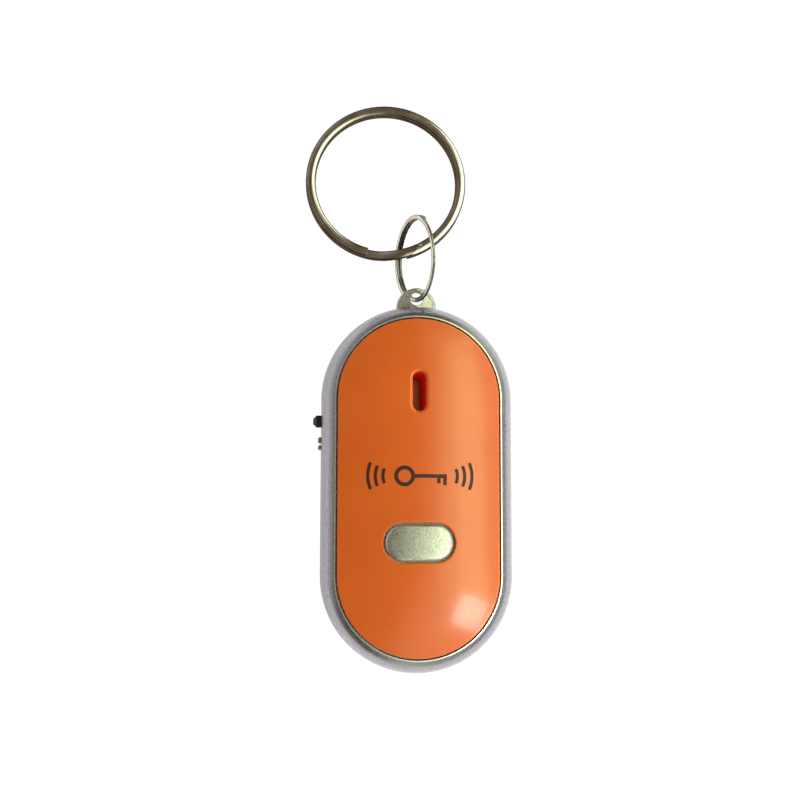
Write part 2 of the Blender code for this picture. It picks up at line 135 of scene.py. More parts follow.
def joint_axis(name: str) -> Vector:
    """A joint's direction at rest, as a unit vector."""
    return Vector(joint_record(name)["axis"]).normalized()


# Mesh helpers


def arc(centre: Pair, reach: Pair, start: float, end: float, steps: int) -> Profile:
    """Points on an elliptical arc of a profile.

    Args:
        centre: radius and height of the ellipse's centre.
        reach: its half sizes outwards and upwards.
        start: the first angle in degrees, 0 outwards and 90 upwards.
        end: the last angle in degrees.
        steps: how many stretches the arc has.

    Returns:
        The profile's points, as radius and height.
    """
    angles = [math.radians(start + (end - start) * i / steps) for i in range(steps + 1)]
    return [
        (centre[0] + reach[0] * math.cos(a), centre[1] + reach[1] * math.sin(a)) for a in angles
    ]


def sweep(
    profile: Profile,
    straight: float = 0.0,
    arc_steps: int = 64,
    side_steps: int = 24,
    closed: bool = False,
) -> Shape:
    """Carries a profile round a stadium outline, or round a circle.

    Args:
        profile: radius and height of each point, outside the centre line.
        straight: half the straight run along Y; 0 makes a turned piece.
        arc_steps: stretches in each half turn.
        side_steps: stretches in each straight side.
        closed: whether the profile's last point joins its first.

    Returns:
        The swept bmesh, merged, with its faces pointing out.
    """
    bm = bmesh.new()
    verts = [bm.verts.new((radius, -straight, height)) for radius, height in profile]
    pairs = list(zip(verts, verts[1:])) + ([(verts[-1], verts[0])] if closed else [])
    geom = verts + [bm.edges.new(pair) for pair in pairs]
    for way in (1, -1):
        if straight:
            step = Vector((0, way * 2 * straight / side_steps, 0))
            geom = bmesh.ops.spin(
                bm,
                geom=geom,
                cent=(0, 0, 0),
                axis=(0, 0, 1),
                dvec=step,
                angle=0,
                steps=side_steps,
            )["geom_last"]
        geom = bmesh.ops.spin(
            bm,
            geom=geom,
            cent=(0, way * straight, 0),
            axis=(0, 0, 1),
            angle=math.pi,
            steps=arc_steps,
        )["geom_last"]
    bmesh.ops.remove_doubles(bm, verts=bm.verts, dist=1e-4)
    bmesh.ops.recalc_face_normals(bm, faces=bm.faces)
    return bm


def placed(bm: Shape, at: Vector | Triple = (0, 0, 0), axis: Axis = Axis.ALONG_Y) -> Shape:
    """Turns a shape's straight sides and moves it into place.

    Args:
        bm: the shape.
        at: where its centre goes.
        axis: where its straight sides point.

    Returns:
        The same bmesh.
    """
    bmesh.ops.rotate(bm, verts=bm.verts, matrix=Matrix.Rotation(axis.value, 3, "Z"))
    bmesh.ops.translate(bm, verts=bm.verts, vec=Vector(at))
    return bm


def block(low: Triple, high: Triple, bevel: float = 0.0) -> Shape:
    """A box between two corners with rounded edges.

    Args:
        low: the lowest corner.
        high: the highest corner.
        bevel: how far its edges are rounded.

    Returns:
        The box as a bmesh.
    """
    bm = bmesh.new()
    bmesh.ops.create_cube(bm, size=1.0)
    bmesh.ops.scale(bm, vec=Vector(high) - Vector(low), verts=bm.verts)
    bmesh.ops.translate(bm, vec=(Vector(high) + Vector(low)) / 2, verts=bm.verts)
    if bevel:
        soften(bm, bm.edges[:], bevel, 3)
    return bm


def soften(bm: Shape, edges: list[bmesh.types.BMEdge], width: float, segments: int) -> None:
    """Rounds edges.

    Args:
        bm: the shape.
        edges: which of its edges.
        width: the width of the rounding.
        segments: faces across it.
    """
    bmesh.ops.bevel(
        bm,
        geom=edges,
        offset=width,
        segments=segments,
        profile=0.5,
        affect="EDGES",
        material=-1,
        clamp_overlap=True,
    )


def make_piece(name: str, bm: Shape, sharp: float = 35.0) -> bpy.types.Object:
    """Turns a bmesh in millimetres into a smooth object at the origin.

    Args:
        name: the piece's name.
        bm: its shape, which is freed.
        sharp: the angle in degrees past which an edge is shaded sharp.

    Returns:
        The new object.
    """
    bmesh.ops.scale(bm, vec=(MM, MM, MM), verts=bm.verts)
    mesh = bpy.data.meshes.new(name)
    bm.to_mesh(mesh)
    bm.free()
    mesh.shade_smooth()
    mesh.set_sharp_from_angle(angle=math.radians(sharp))
    piece = bpy.data.objects.new(name, mesh)
    bpy.context.scene.collection.objects.link(piece)
    return piece


def carve(piece: bpy.types.Object, tools: list[Shape], sharp: float = 35.0) -> None:
    """Cuts shapes out of a piece and keeps the result as its mesh.

    Args:
        piece: the piece to cut.
        tools: the shapes to take away, in millimetres.
        sharp: the angle in degrees past which an edge is shaded sharp.
    """
    for tool in tools:
        cutter = make_piece("cutter", tool)
        step = piece.modifiers.new("cut", "BOOLEAN")
        step.operation = "DIFFERENCE"
        step.solver = "EXACT"
        step.object = cutter
        graph = bpy.context.evaluated_depsgraph_get()
        cut = bpy.data.meshes.new_from_object(piece.evaluated_get(graph))
        piece.modifiers.clear()
        piece.data = cut
        bpy.data.objects.remove(cutter)
    piece.data.shade_smooth()
    piece.data.set_sharp_from_angle(angle=math.radians(sharp))


def install(
    piece: bpy.types.Object,
    body: Body,
    look: bpy.types.Material,
    nodes: tuple[str, ...] = (),
) -> bpy.types.Object:
    """Dresses a piece and joins it to the model.

    Args:
        piece: the finished piece.
        body: the moving group that it rides on.
        look: its material.
        nodes: the model's nodes that it stands for.

    Returns:
        The same piece.
    """
    piece.data.materials.clear()
    piece.data.materials.append(look)
    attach(piece, body.value)
    if nodes:
        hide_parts(*nodes)
    LOG.info("%s: %d faces on %s", piece.name, len(piece.data.polygons), body.value)
    return piece


# Finishes


def fill_ramp(node: bpy.types.Node, stops: Sequence[tuple[float, Triple]]) -> None:
    """Puts colours at their places on a colour ramp.

    Args:
        node: the ramp's node.
        stops: places from 0 to 1 and the colour at each.
    """
    elements = node.color_ramp.elements
    while len(elements) < len(stops):
        elements.new(1.0)
    for element, (place, colour) in zip(elements, stops):
        element.position = place
        element.color = (*colour, 1.0)


class Recipe:
    """A node material built round one Principled shader."""

    def __init__(self, name: str) -> None:
        """Starts the material.

        Args:
            name: the material's name.
        """
        self.material = bpy.data.materials.new(name)
        self.material.use_nodes = True
        self.tree = self.material.node_tree
        self.shader = self.tree.nodes["Principled BSDF"]
        self.point = self.tree.nodes.new("ShaderNodeTexCoord").outputs["Object"]

    def put(self, **values: float | tuple) -> None:
        """Sets the shader's own sockets, named with underscores for spaces."""
        for name, value in values.items():
            self.shader.inputs[name.replace("_", " ")].default_value = value

    def link(self, output: Socket, name: str) -> None:
        """Joins an output to one of the shader's sockets."""
        self.tree.links.new(output, self.shader.inputs[name])

    def mapped(self, at: Vector, turn: Triple) -> Socket:
        """Object coordinates centred on a point and turned.

        Args:
            at: the point in metres that becomes the pattern's centre.
            turn: angles in radians.

        Returns:
            The new coordinates.
        """
        shift = self.tree.nodes.new("ShaderNodeVectorMath")
        shift.operation = "SUBTRACT"
        shift.inputs[1].default_value = at
        self.tree.links.new(self.point, shift.inputs[0])
        mapping = self.tree.nodes.new("ShaderNodeMapping")
        mapping.inputs["Rotation"].default_value = turn
        self.tree.links.new(shift.outputs[0], mapping.inputs["Vector"])
        return mapping.outputs["Vector"]

    def noise(self, size: float, detail: float = 2.0, point: Socket | None = None) -> Socket:
        """A noise pattern.

        Args:
            size: the width of its features, in millimetres.
            detail: how many finer layers it has.
            point: the coordinates, or the object's own.

        Returns:
            The pattern's value.
        """
        made = self.tree.nodes.new("ShaderNodeTexNoise")
        made.inputs["Scale"].default_value = 1 / (size * MM)
        made.inputs["Detail"].default_value = detail
        self.tree.links.new(point or self.point, made.inputs["Vector"])
        return made.outputs["Fac"]

    def cells(self, size: float, value: CellValue = CellValue.COLOUR) -> Socket:
        """A pattern of random cells.

        Args:
            size: the width of a cell, in millimetres.
            value: whether it gives each cell's colour or the distance from its middle.

        Returns:
            That value.
        """
        made = self.tree.nodes.new("ShaderNodeTexVoronoi")
        made.inputs["Scale"].default_value = 1 / (size * MM)
        self.tree.links.new(self.point, made.inputs["Vector"])
        return made.outputs[value.value]

    def ramp(self, value: Socket, stops: Sequence[tuple[float, Triple]]) -> Socket:
        """Turns a value into a colour.

        Args:
            value: the value.
            stops: places from 0 to 1 and the colour at each.

        Returns:
            The colour.
        """
        made = self.tree.nodes.new("ShaderNodeValToRGB")
        fill_ramp(made, stops)
        self.tree.links.new(value, made.inputs["Fac"])
        return made.outputs["Color"]

    def spread(self, value: Socket, low: float, high: float, start: float, end: float) -> Socket:
        """Stretches a value from its own range over another.

        Args:
            value: the value.
            low: the result where the value is at start.
            high: the result where it is at end.
            start: one end of the value's own range.
            end: the other end of it.

        Returns:
            The stretched value.
        """
        made = self.tree.nodes.new("ShaderNodeMapRange")
        ends = (("From Min", start), ("From Max", end), ("To Min", low), ("To Max", high))
        for name, number in ends:
            made.inputs[name].default_value = number
        self.tree.links.new(value, made.inputs["Value"])
        return made.outputs["Result"]

    def blend(
        self,
        share: Socket | float,
        first: Socket,
        second: Socket,
        way: Mixing = Mixing.PLAIN,
    ) -> Socket:
        """Mixes two colours.

        Args:
            share: how much of the second colour is taken, from 0 to 1.
            first: the first colour.
            second: the second colour.
            way: how the second is laid on the first.

        Returns:
            The mixed colour.
        """
        made = self.tree.nodes.new("ShaderNodeMix")
        made.data_type = "RGBA"
        made.blend_type = way.value
        if isinstance(share, float):
            made.inputs["Factor"].default_value = share
        else:
            self.tree.links.new(share, made.inputs["Factor"])
        self.tree.links.new(first, made.inputs["A"])
        self.tree.links.new(second, made.inputs["B"])
        return made.outputs["Result"]

    def relief(self, height: Socket, depth: float, under: Socket | None = None) -> Socket:
        """Roughens the surface.

        Args:
            height: the pattern's height.
            depth: its depth in millimetres.
            under: a coarser relief that this one lies on.

        Returns:
            The new normal.
        """
        made = self.tree.nodes.new("ShaderNodeBump")
        made.inputs["Strength"].default_value = 1.0
        made.inputs["Distance"].default_value = depth * MM
        self.tree.links.new(height, made.inputs["Height"])
        if under:
            self.tree.links.new(under, made.inputs["Normal"])
        return made.outputs["Normal"]


@dataclass(frozen=True)
class SilverPaint:
    """Satin paint with metal flakes."""

    name: str
    dark: Triple
    light: Triple
    flake: float = 0.11
    sparkle: float = 0.007
    roughness: Pair = (0.24, 0.36)

    def make(self) -> bpy.types.Material:
        """Makes the material.

        Returns:
            The finished material.
        """
        recipe = Recipe(self.name)
        cloud = recipe.noise(5.0, 3.0)
        flakes = recipe.cells(self.flake)
        bright = tuple(min(1.0, c * 1.25) for c in self.light)
        shaded = tuple(c * 0.9 for c in self.light)
        flake_tone = recipe.ramp(flakes, [(0.15, self.dark), (0.6, self.light), (0.95, bright)])
        cloud_tone = recipe.ramp(cloud, [(0.3, shaded), (0.7, self.light)])
        recipe.link(recipe.blend(0.6, cloud_tone, flake_tone), "Base Color")
        recipe.link(recipe.spread(recipe.noise(0.6), *self.roughness, *NOISE_SPAN), "Roughness")
        grain = recipe.relief(recipe.noise(self.flake, 1.0), self.sparkle)
        recipe.link(recipe.relief(recipe.noise(3.0), 0.01, grain), "Normal")
        recipe.put(Metallic=0.9, Coat_Weight=0.15, Coat_Roughness=0.2)
        return recipe.material


@dataclass(frozen=True)
class OrangeGloss:
    """Glossy moulded plastic, a little translucent, with fine dust on it."""

    name: str
    base: Triple
    deep: Triple
    dust: Triple = (0.9, 0.6, 0.35)
    bleed: Triple = (1.0, 0.35, 0.1)

    def make(self) -> bpy.types.Material:
        """Makes the material.

        Returns:
            The finished material.
        """
        recipe = Recipe(self.name)
        tone = recipe.ramp(recipe.noise(9.0, 3.0), [(0.3, self.deep), (0.7, self.base)])
        specks = recipe.spread(recipe.cells(1.9, CellValue.DISTANCE), 1.0, 0.0, 0.015, 0.035)
        dust = recipe.ramp(specks, [(0.0, self.dust), (1.0, self.dust)])
        recipe.link(recipe.blend(specks, tone, dust), "Base Color")
        recipe.link(recipe.spread(recipe.noise(1.5, 4.0), 0.16, 0.24, *NOISE_SPAN), "Roughness")
        fine = recipe.relief(recipe.noise(0.35, 2.0), 0.0006)
        recipe.link(recipe.relief(recipe.noise(2.6, 1.0), 0.006, fine), "Normal")
        recipe.put(Coat_Weight=0.6, Coat_Roughness=0.09)
        recipe.put(Subsurface_Weight=0.12, Subsurface_Radius=self.bleed)
        recipe.put(Subsurface_Scale=0.8 * MM)
        return recipe.material


@dataclass(frozen=True)
class PolishedNickel:
    """Plated spring wire, polished along its length, with fine scratches, its edges darkened with
    painted shade.
    """

    name: str
    centre: Vector
    turn: Triple
    radius: float
    width: float
    bright: Triple = (0.86, 0.84, 0.76)
    dull: Triple = (0.60, 0.54, 0.47)
    # The colour of the painted shade along the wire's edges.
    painted_edge_shade: Triple = (0.14, 0.11, 0.09)
    grazing: Triple = (0.40, 0.36, 0.30)

    def make(self) -> bpy.types.Material:
        """Makes the material.

        Returns:
            The finished material.
        """
        recipe = Recipe(self.name)
        point = recipe.mapped(self.centre * MM, self.turn)
        tree = recipe.tree
        split = tree.nodes.new("ShaderNodeSeparateXYZ")
        tree.links.new(point, split.inputs[0])
        flat = tree.nodes.new("ShaderNodeCombineXYZ")
        tree.links.new(split.outputs["X"], flat.inputs["X"])
        tree.links.new(split.outputs["Y"], flat.inputs["Y"])
        reach = tree.nodes.new("ShaderNodeVectorMath")
        reach.operation = "LENGTH"
        tree.links.new(flat.outputs[0], reach.inputs[0])
        rings = tree.nodes.new("ShaderNodeCombineXYZ")
        tree.links.new(reach.outputs["Value"], rings.inputs["X"])
        tree.links.new(split.outputs["Z"], rings.inputs["Z"])
        # The scratches run round the ring, so their pattern changes only with radius and height.
        lines = recipe.noise(0.09, 2.0, rings.outputs[0])
        patches = recipe.noise(2.5, 3.0)
        off_centre = tree.nodes.new("ShaderNodeMath")
        off_centre.operation = "SUBTRACT"
        off_centre.inputs[1].default_value = self.radius * MM
        tree.links.new(reach.outputs["Value"], off_centre.inputs[0])
        offset = tree.nodes.new("ShaderNodeMath")
        offset.operation = "ABSOLUTE"
        tree.links.new(off_centre.outputs[0], offset.inputs[0])
        share = recipe.spread(offset.outputs[0], 0.0, 1.0, 0.0, self.width / 2 * MM)
        # Painted shade: the wire's colour darkens towards both its edges, standing in for the dark
        # outlines that its rounded edges show.
        edges = recipe.ramp(share, [(0.55, (1.0, 1.0, 1.0)), (0.84, self.painted_edge_shade)])
        plating = recipe.ramp(patches, [(0.3, self.dull), (0.65, self.bright)])
        recipe.link(recipe.blend(1.0, plating, edges, Mixing.MULTIPLIED), "Base Color")
        recipe.link(recipe.spread(patches, 0.07, 0.15, *NOISE_SPAN), "Roughness")
        recipe.link(recipe.relief(lines, 0.003), "Normal")
        recipe.put(Metallic=1.0, Specular_Tint=(*self.grazing, 1.0))
        return recipe.material


@dataclass(frozen=True)
class Moulded:
    """Plain moulded or pressed material with a fine grain."""

    name: str
    colour: Triple
    roughness: float = 0.45
    metallic: float = 0.0
    grain: float = 0.12
    depth: float = 0.006
    variation: float = 0.18
    coat: float = 0.0
    gloss: float = 0.5
    glow: float = 0.0

    def make(self) -> bpy.types.Material:
        """Makes the material.

        Returns:
            The finished material.
        """
        recipe = Recipe(self.name)
        low = tuple(c * (1 - self.variation) for c in self.colour)
        high = tuple(min(1.0, c * (1 + self.variation)) for c in self.colour)
        recipe.link(recipe.ramp(recipe.noise(1.8, 4.0), [(0.3, low), (0.7, high)]), "Base Color")
        smooth, rough = self.roughness * 0.85, min(1.0, self.roughness * 1.15)
        sheen = recipe.spread(recipe.noise(0.5, 2.0), smooth, rough, *NOISE_SPAN)
        recipe.link(sheen, "Roughness")
        recipe.link(recipe.relief(recipe.noise(self.grain, 2.0), self.depth), "Normal")
        recipe.put(Metallic=self.metallic, Coat_Weight=self.coat, Specular_IOR_Level=self.gloss)
        recipe.put(Emission_Color=(*self.colour, 1.0), Emission_Strength=self.glow)
        return recipe.material


@dataclass(frozen=True)
class SolderMask:
    """A board's green lacquer with copper tracks showing through it."""

    name: str
    base: Triple = (0.01, 0.16, 0.05)
    track: Triple = (0.03, 0.30, 0.09)

    def make(self) -> bpy.types.Material:
        """Makes the material.

        Returns:
            The finished material.
        """
        recipe = Recipe(self.name)
        tracks = recipe.cells(1.6, CellValue.DISTANCE)
        recipe.link(recipe.ramp(tracks, [(0.28, self.base), (0.34, self.track)]), "Base Color")
        recipe.link(recipe.relief(tracks, 0.02), "Normal")
        recipe.put(Roughness=0.3, Coat_Weight=0.4)
        return recipe.material


class Finishes:
    """Every finish of the finder, made once."""

    def __init__(self) -> None:
        """Makes the materials."""
        self.silver = SilverPaint("silver_paint", (0.25, 0.25, 0.262), (0.385, 0.38, 0.405)).make()
        self.button = SilverPaint(
            "button_silver", (0.24, 0.24, 0.21), (0.68, 0.69, 0.62), 0.12, 0.017, (0.26, 0.36)
        ).make()
        self.orange = OrangeGloss(
            "orange_gloss", (0.745, 0.139, 0.017), (0.70, 0.127, 0.015)
        ).make()
        # Painted light: the sound tube's orange plastic gets a shaded deep red, the colour of light
        # bounced inside an orange well, and a faint glow as if lit through its walls.
        self.painted_tube_glow = Moulded(
            "painted_tube_glow", (0.80, 0.040, 0.030), 0.8, gloss=0.05, depth=0.002, glow=0.045
        ).make()
        # Painted highlight: the frame's lip gets a far lighter, glossier silver than the rim,
        # standing in for the bright line that light draws along it.
        self.edge = Moulded("lip_painted_highlight", (0.93, 0.91, 0.86), 0.22, 0.8, variation=0.04).make()
        self.ink = Moulded(
            "printed_ink", (0.040, 0.010, 0.008), 0.45, grain=0.1, depth=0.003
        ).make()
        self.black = Moulded("black_plastic", (0.012, 0.012, 0.014), 0.38).make()
        self.steel = Moulded("pressed_steel", (0.56, 0.56, 0.57), 0.3, 1.0, variation=0.08).make()
        self.gold = Moulded("plated_brass", (0.72, 0.50, 0.20), 0.28, 1.0, variation=0.1).make()
        self.felt = Moulded("black_felt", (0.02, 0.02, 0.02), 0.95, grain=0.08, depth=0.05).make()
        self.red = Moulded("red_lamp", (0.55, 0.015, 0.012), 0.15, coat=0.5, depth=0.001).make()
        self.red_wire = Moulded("red_insulation", (0.50, 0.02, 0.02), 0.45).make()
        self.ceramic = Moulded("fired_ceramic", (0.78, 0.75, 0.68), 0.55).make()
        self.board = SolderMask("solder_mask").make()


# Sub-assemblies


@dataclass
class Case:
    """The painted frame of the case, and the outline that its other parts share."""

    base_radius: float = 12.0
    lip_radius: float = 12.46
    opening_radius: float = 12.25
    crest_offset: float = 0.45
    crest_steps: int = 28
    lip_drop: float = 0.03
    lip_depth: float = 0.24
    lip_edge: float = 0.035
    ledge_radius: float = 11.4
    ledge_z: Pair = (6.9, 7.6)
    skirt_radius: float = 13.1
    skirt_top_z: float = 6.2
    skirt_chamfer: float = 0.1
    lever_gap: float = 0.25
    lever_cut_x: Pair = (-17.0, -12.6)
    lever_cut_z: Pair = (3.0, 9.0)
    mark_x: Pair = (-14.86, -13.7)
    mark_y: tuple[Pair, Pair] = ((5.55, 6.3), (6.55, 7.5))
    mark_z: Pair = (4.7, 5.9)
    mark_rounding: float = 0.28
    radius: float = field(init=False)
    straight: float = field(init=False)
    crest_z: float = field(init=False)
    parting_z: float = field(init=False)
    hole: Vector = field(init=False)

    def __post_init__(self) -> None:
        """Reads the outer sizes from the model."""
        low, high = node_box("front_frame")
        self.radius = high.x
        self.straight = -low.y - high.x
        self.parting_z, self.crest_z = low.z, high.z
        self.hole = joint_place("link_ring_swing")

    @property
    def widest_z(self) -> float:
        """The height at which the case is widest."""
        return self.hole.z

    def side_radius(self, z: float) -> float:
        """The outer radius of the lower half's round ends at a height."""
        reach = math.sqrt(max(0.0, 1 - ((self.widest_z - z) / self.widest_z) ** 2))
        return self.base_radius + (self.radius - self.base_radius) * reach

    def walled(self, profile: Profile, closed: bool = False) -> Shape:
        """Carries a profile round the case's outline, in the case's own fine steps."""
        return sweep(profile, self.straight, 96, 30, closed)

    def lever_opening(self, height: Pair) -> Shape:
        """The slot in the case's side that the switch lever slides in.

        Args:
            height: its lowest and highest level.

        Returns:
            The shape to cut away.
        """
        low, high = node_box("power_switch_lever")
        travel = joint_record("power_switch_slide")["range_m"][1] / MM
        return block(
            (self.lever_cut_x[0], low.y - self.lever_gap, height[0]),
            (self.lever_cut_x[1], high.y + travel + self.lever_gap, height[1]),
        )

    def build(self, looks: Finishes) -> None:
        """Makes the painted rim, its lip in a lighter silver that paints a highlight along it, and
        the switch's marks.

        Args:
            looks: the finishes.
        """
        seat_z = self.crest_z - self.lip_depth
        piece = make_piece("frame_rim", self.walled(self.rim_profile(seat_z), closed=True))
        lever_top = node_box("power_switch_lever")[1].z
        carve(piece, [self.lever_opening((self.lever_cut_z[0], lever_top + self.lever_gap))])
        install(piece, Body.CASE, looks.silver, ("front_frame",))
        lip = [
            (self.lip_radius, self.crest_z - self.lip_drop),
            (self.opening_radius + 0.03, self.crest_z - 0.005),
            (self.opening_radius, self.crest_z - self.lip_edge),
            (self.opening_radius, seat_z),
            (self.lip_radius, seat_z),
        ]
        # The lip's lighter silver paints the highlight along the opening.
        edge = make_piece("frame_lip", self.walled(lip, closed=True))
        install(edge, Body.CASE, looks.edge)
        for i, (near, far) in enumerate(self.mark_y, 1):
            low = (self.mark_x[0], near, self.mark_z[0])
            high = (self.mark_x[1], far, self.mark_z[1])
            mark = make_piece(f"switch_mark_{i}", block(low, high, self.mark_rounding))
            install(mark, Body.CASE, looks.silver)

    def rim_profile(self, seat_z: float) -> Profile:
        """The frame's outline in section, from its parting line over its crest and down inside.

        Args:
            seat_z: the height of the seat that the lip stands on.

        Returns:
            The closed profile.
        """
        foot = [(self.side_radius(z), z) for z in (self.parting_z + rise for rise in (0, 0.3, 0.6))]
        reach = self.radius - self.lip_radius + self.crest_offset
        end = math.acos(self.crest_offset / reach)
        height = (self.crest_z - self.widest_z) / math.sin(end)
        centre = (self.radius - reach, self.widest_z)
        rim = arc(centre, (reach, height), 0, math.degrees(end), self.crest_steps)
        under_z, ledge_z = self.ledge_z
        inside = [
            (self.lip_radius, seat_z),
            (self.opening_radius, seat_z),
            (self.opening_radius, ledge_z),
            (self.ledge_radius, ledge_z),
            (self.ledge_radius, under_z),
            (self.skirt_radius, self.skirt_top_z),
            (self.skirt_radius, self.parting_z + self.skirt_chamfer),
            (self.skirt_radius + self.skirt_chamfer, self.parting_z),
        ]
        return foot + rim + inside


@dataclass
class EyeTab:
    """The half-disc tab that holds the small ring, in two layers that meet at the middle."""

    case: Case
    radius: float = 2.95
    centre_y: float = 27.45
    half: float = 0.83
    seam: float = 0.02
    seam_edge: float = 0.06
    edge: float = 0.16
    border: float = 0.42
    sunk: float = 0.05
    hole_radius: float = 1.0
    flare: float = 0.16
    flare_depth: float = 0.3
    slope_left: float = 0.09
    slope_right: float = 0.07
    rear_shift: float = -0.1
    cut_edge: float = 1.2

    def build(self, looks: Finishes) -> None:
        """Makes both layers.

        Args:
            looks: the finishes.
        """
        for name, way, shift in (("eye_tab_front", 1, 0.0), ("eye_tab_rear", -1, self.rear_shift)):
            near = self.case.widest_z + way * self.seam
            far = self.case.widest_z + way * self.half
            layer = placed(self.layer(near, far, way), (shift, self.centre_y, 0))
            piece = make_piece(name, layer)
            carve(piece, self.tools(far, way), 5.0)
            install(piece, Body.CASE, looks.button)

    def layer(self, near: float, far: float, way: int) -> Shape:
        """One layer's disc, whose border stands up and whose two halves slope away.

        Args:
            near: the height of its flat side.
            far: the height of its border.
            way: 1 for the layer in front, -1 for the one behind.

        Returns:
            The disc round the origin.
        """
        radius, edge = self.radius, self.edge
        outline = [
            (0.0, near),
            (radius - self.seam_edge, near),
            (radius, near + way * self.seam_edge),
            (radius, far - way * edge),
            (radius - edge * 0.3, far - way * edge * 0.3),
            (radius - edge, far),
            (radius - self.border, far),
            (radius - self.border - 0.08, far - way * self.sunk),
            (0.0, far - way * self.sunk),
        ]
        shape = sweep(outline, 0, 48)
        everything = shape.verts[:] + shape.edges[:] + shape.faces[:]
        bmesh.ops.bisect_plane(shape, geom=everything, plane_co=(0, 0, 0), plane_no=(1, 0, 0))
        # The flat side stays flat, so that the two layers still meet.
        for vert in shape.verts:
            if abs(vert.co.z - near) > 0.3:
                slope = self.slope_right if vert.co.x > 0 else self.slope_left
                vert.co.z -= way * abs(vert.co.x) * slope
        return shape

    def tools(self, far: float, way: int) -> list[Shape]:
        """The ring's hole, its flared mouth and the cut along the case.

        Args:
            far: the height of the layer's border.
            way: 1 for the layer in front, -1 for the one behind.

        Returns:
            The shapes to cut away.
        """
        inner, above = self.hole_radius, 12.0
        bore = [(0.0, 0.0), (inner, 0.0), (inner, above), (0.0, above)]
        flare = [
            (0.0, far - way * self.flare_depth),
            (inner, far - way * self.flare_depth),
            (inner + self.flare, far - way * 0.02),
            (inner + self.flare + 0.04, far + way * 0.5),
            (0.0, far + way * 0.5),
        ]
        hole = (0, self.case.hole.y, 0)
        behind = block((-5, 20, 0), (5, self.centre_y - self.cut_edge, above))
        return [placed(sweep(bore, 0, 32), hole), placed(sweep(flare, 0, 32), hole), behind]


@dataclass
class RearShell:
    """The rear half of the case, with its holes, screw columns and sounder rib."""

    case: Case
    wall: float = 1.2
    parting_gap: float = 0.2
    foot: float = 0.02
    support: float = 0.35
    door_gap: float = 0.2
    door_chamfer: float = 0.15
    hole_chamfer: float = 0.12
    screw_hole: float = 1.65
    sound_hole: float = 0.6
    sound_circle: float = 2.6
    sound_holes: int = 6
    column_radius: float = 2.3
    column_bore: float = 0.95
    column_z: Pair = (0.2, 1.5)
    board_gap: float = 0.15
    rib_beyond: float = 0.2
    rib_wall: float = 0.8
    rib_z: float = 1.0
    rib_gap: float = 0.1

    def build(self, looks: Finishes) -> None:
        """Makes the shell, then what stands inside it.

        Args:
            looks: the finishes.
        """
        piece = make_piece("rear_case", self.case.walled(self.profile()))
        door = node_middle("battery_door")
        door_low, door_high = node_box("battery_door")
        door_radius = (door_high.x - door_low.x) / 2 + self.door_gap
        tools = [self.hole(door, door_radius, self.door_chamfer, 64)]
        for screw in SCREWS:
            tools.append(self.hole(node_middle(screw), self.screw_hole, self.hole_chamfer, 32))
        sounder = node_middle("sounder_disc")
        for i in range(self.sound_holes + 1):
            turn = math.radians(360 / self.sound_holes * i)
            reach = self.sound_circle if i else 0.0
            place = sounder + Vector((reach * math.cos(turn), reach * math.sin(turn), 0))
            tools.append(self.hole(place, self.sound_hole, self.hole_chamfer, 24))
        lever_bottom = node_box("power_switch_lever")[0].z - self.case.lever_gap
        opening = self.case.lever_opening((lever_bottom, self.case.lever_cut_z[1]))
        carve(piece, [*tools, opening])
        install(piece, Body.CASE, looks.silver, ("rear_shell",))
        self.build_columns(looks)
        self.build_rib(looks)

    def profile(self) -> Profile:
        """The shell in section, from the middle of its inside to the middle of its back.

        Returns:
            The profile.
        """
        rim_z = self.case.parting_z - self.parting_gap
        side_steps, inner_steps = 24, 8
        outer_z = [rim_z * i / side_steps for i in range(side_steps, 0, -1)]
        outer = [(self.case.side_radius(z), z) for z in outer_z]
        base = self.case.base_radius
        # A loop close to the foot keeps the shading of the flat back flat.
        outer += [(base + self.foot, 0.0), (base - self.support, 0.0), (0.0, 0.0)]
        inner_z = [
            self.wall + (rim_z - self.wall) * i / inner_steps for i in range(inner_steps + 1)
        ]
        inner = [(self.case.side_radius(z) - self.wall, z) for z in inner_z]
        return [(0.0, self.wall), *inner, *outer]

    @staticmethod
    def hole(at: Vector, radius: float, chamfer: float, steps: int) -> Shape:
        """A round hole up through the rear wall, chamfered at the outside.

        Args:
            at: a point on its axis.
            radius: the hole's radius.
            chamfer: the width of its chamfer.
            steps: stretches in each half turn.

        Returns:
            The shape to cut away.
        """
        below, above = -1.0, 2.0
        mouth = radius + chamfer
        walls = [(0.0, below), (mouth, below), (mouth, 0.0), (radius, chamfer)]
        return placed(sweep([*walls, (radius, above), (0.0, above)], 0, steps), (at.x, at.y, 0))

    def build_columns(self, looks: Finishes) -> None:
        """Makes the columns that the screws go through.

        Args:
            looks: the finishes.
        """
        top = node_box("circuit_board")[0].z - self.board_gap
        foot, seat = self.column_z
        walls = [
            (self.screw_hole, foot),
            (self.column_radius, foot),
            (self.column_radius, top),
            (self.column_bore, top),
            (self.column_bore, seat),
            (self.screw_hole, seat),
        ]
        for i, screw in enumerate(SCREWS, 1):
            middle = node_middle(screw)
            shape = placed(sweep(walls, 0, 24, closed=True), (middle.x, middle.y, 0))
            column = make_piece(f"screw_column_{i}", shape)
            install(column, Body.CASE, looks.silver)

    def build_rib(self, looks: Finishes) -> None:
        """Makes the ring-shaped rib that the sounder sits on.

        Args:
            looks: the finishes.
        """
        low, high = node_box("sounder_disc")
        outer = (high.x - low.x) / 2 + self.rib_beyond
        inner = outer - self.rib_wall
        top = low.z - self.rib_gap
        walls = [(inner, self.rib_z), (outer, self.rib_z), (outer, top), (inner, top)]
        shape = placed(sweep(walls, 0, 48, closed=True), (0, (low.y + high.y) / 2, 0))
        install(make_piece("sounder_rib", shape), Body.CASE, looks.silver)


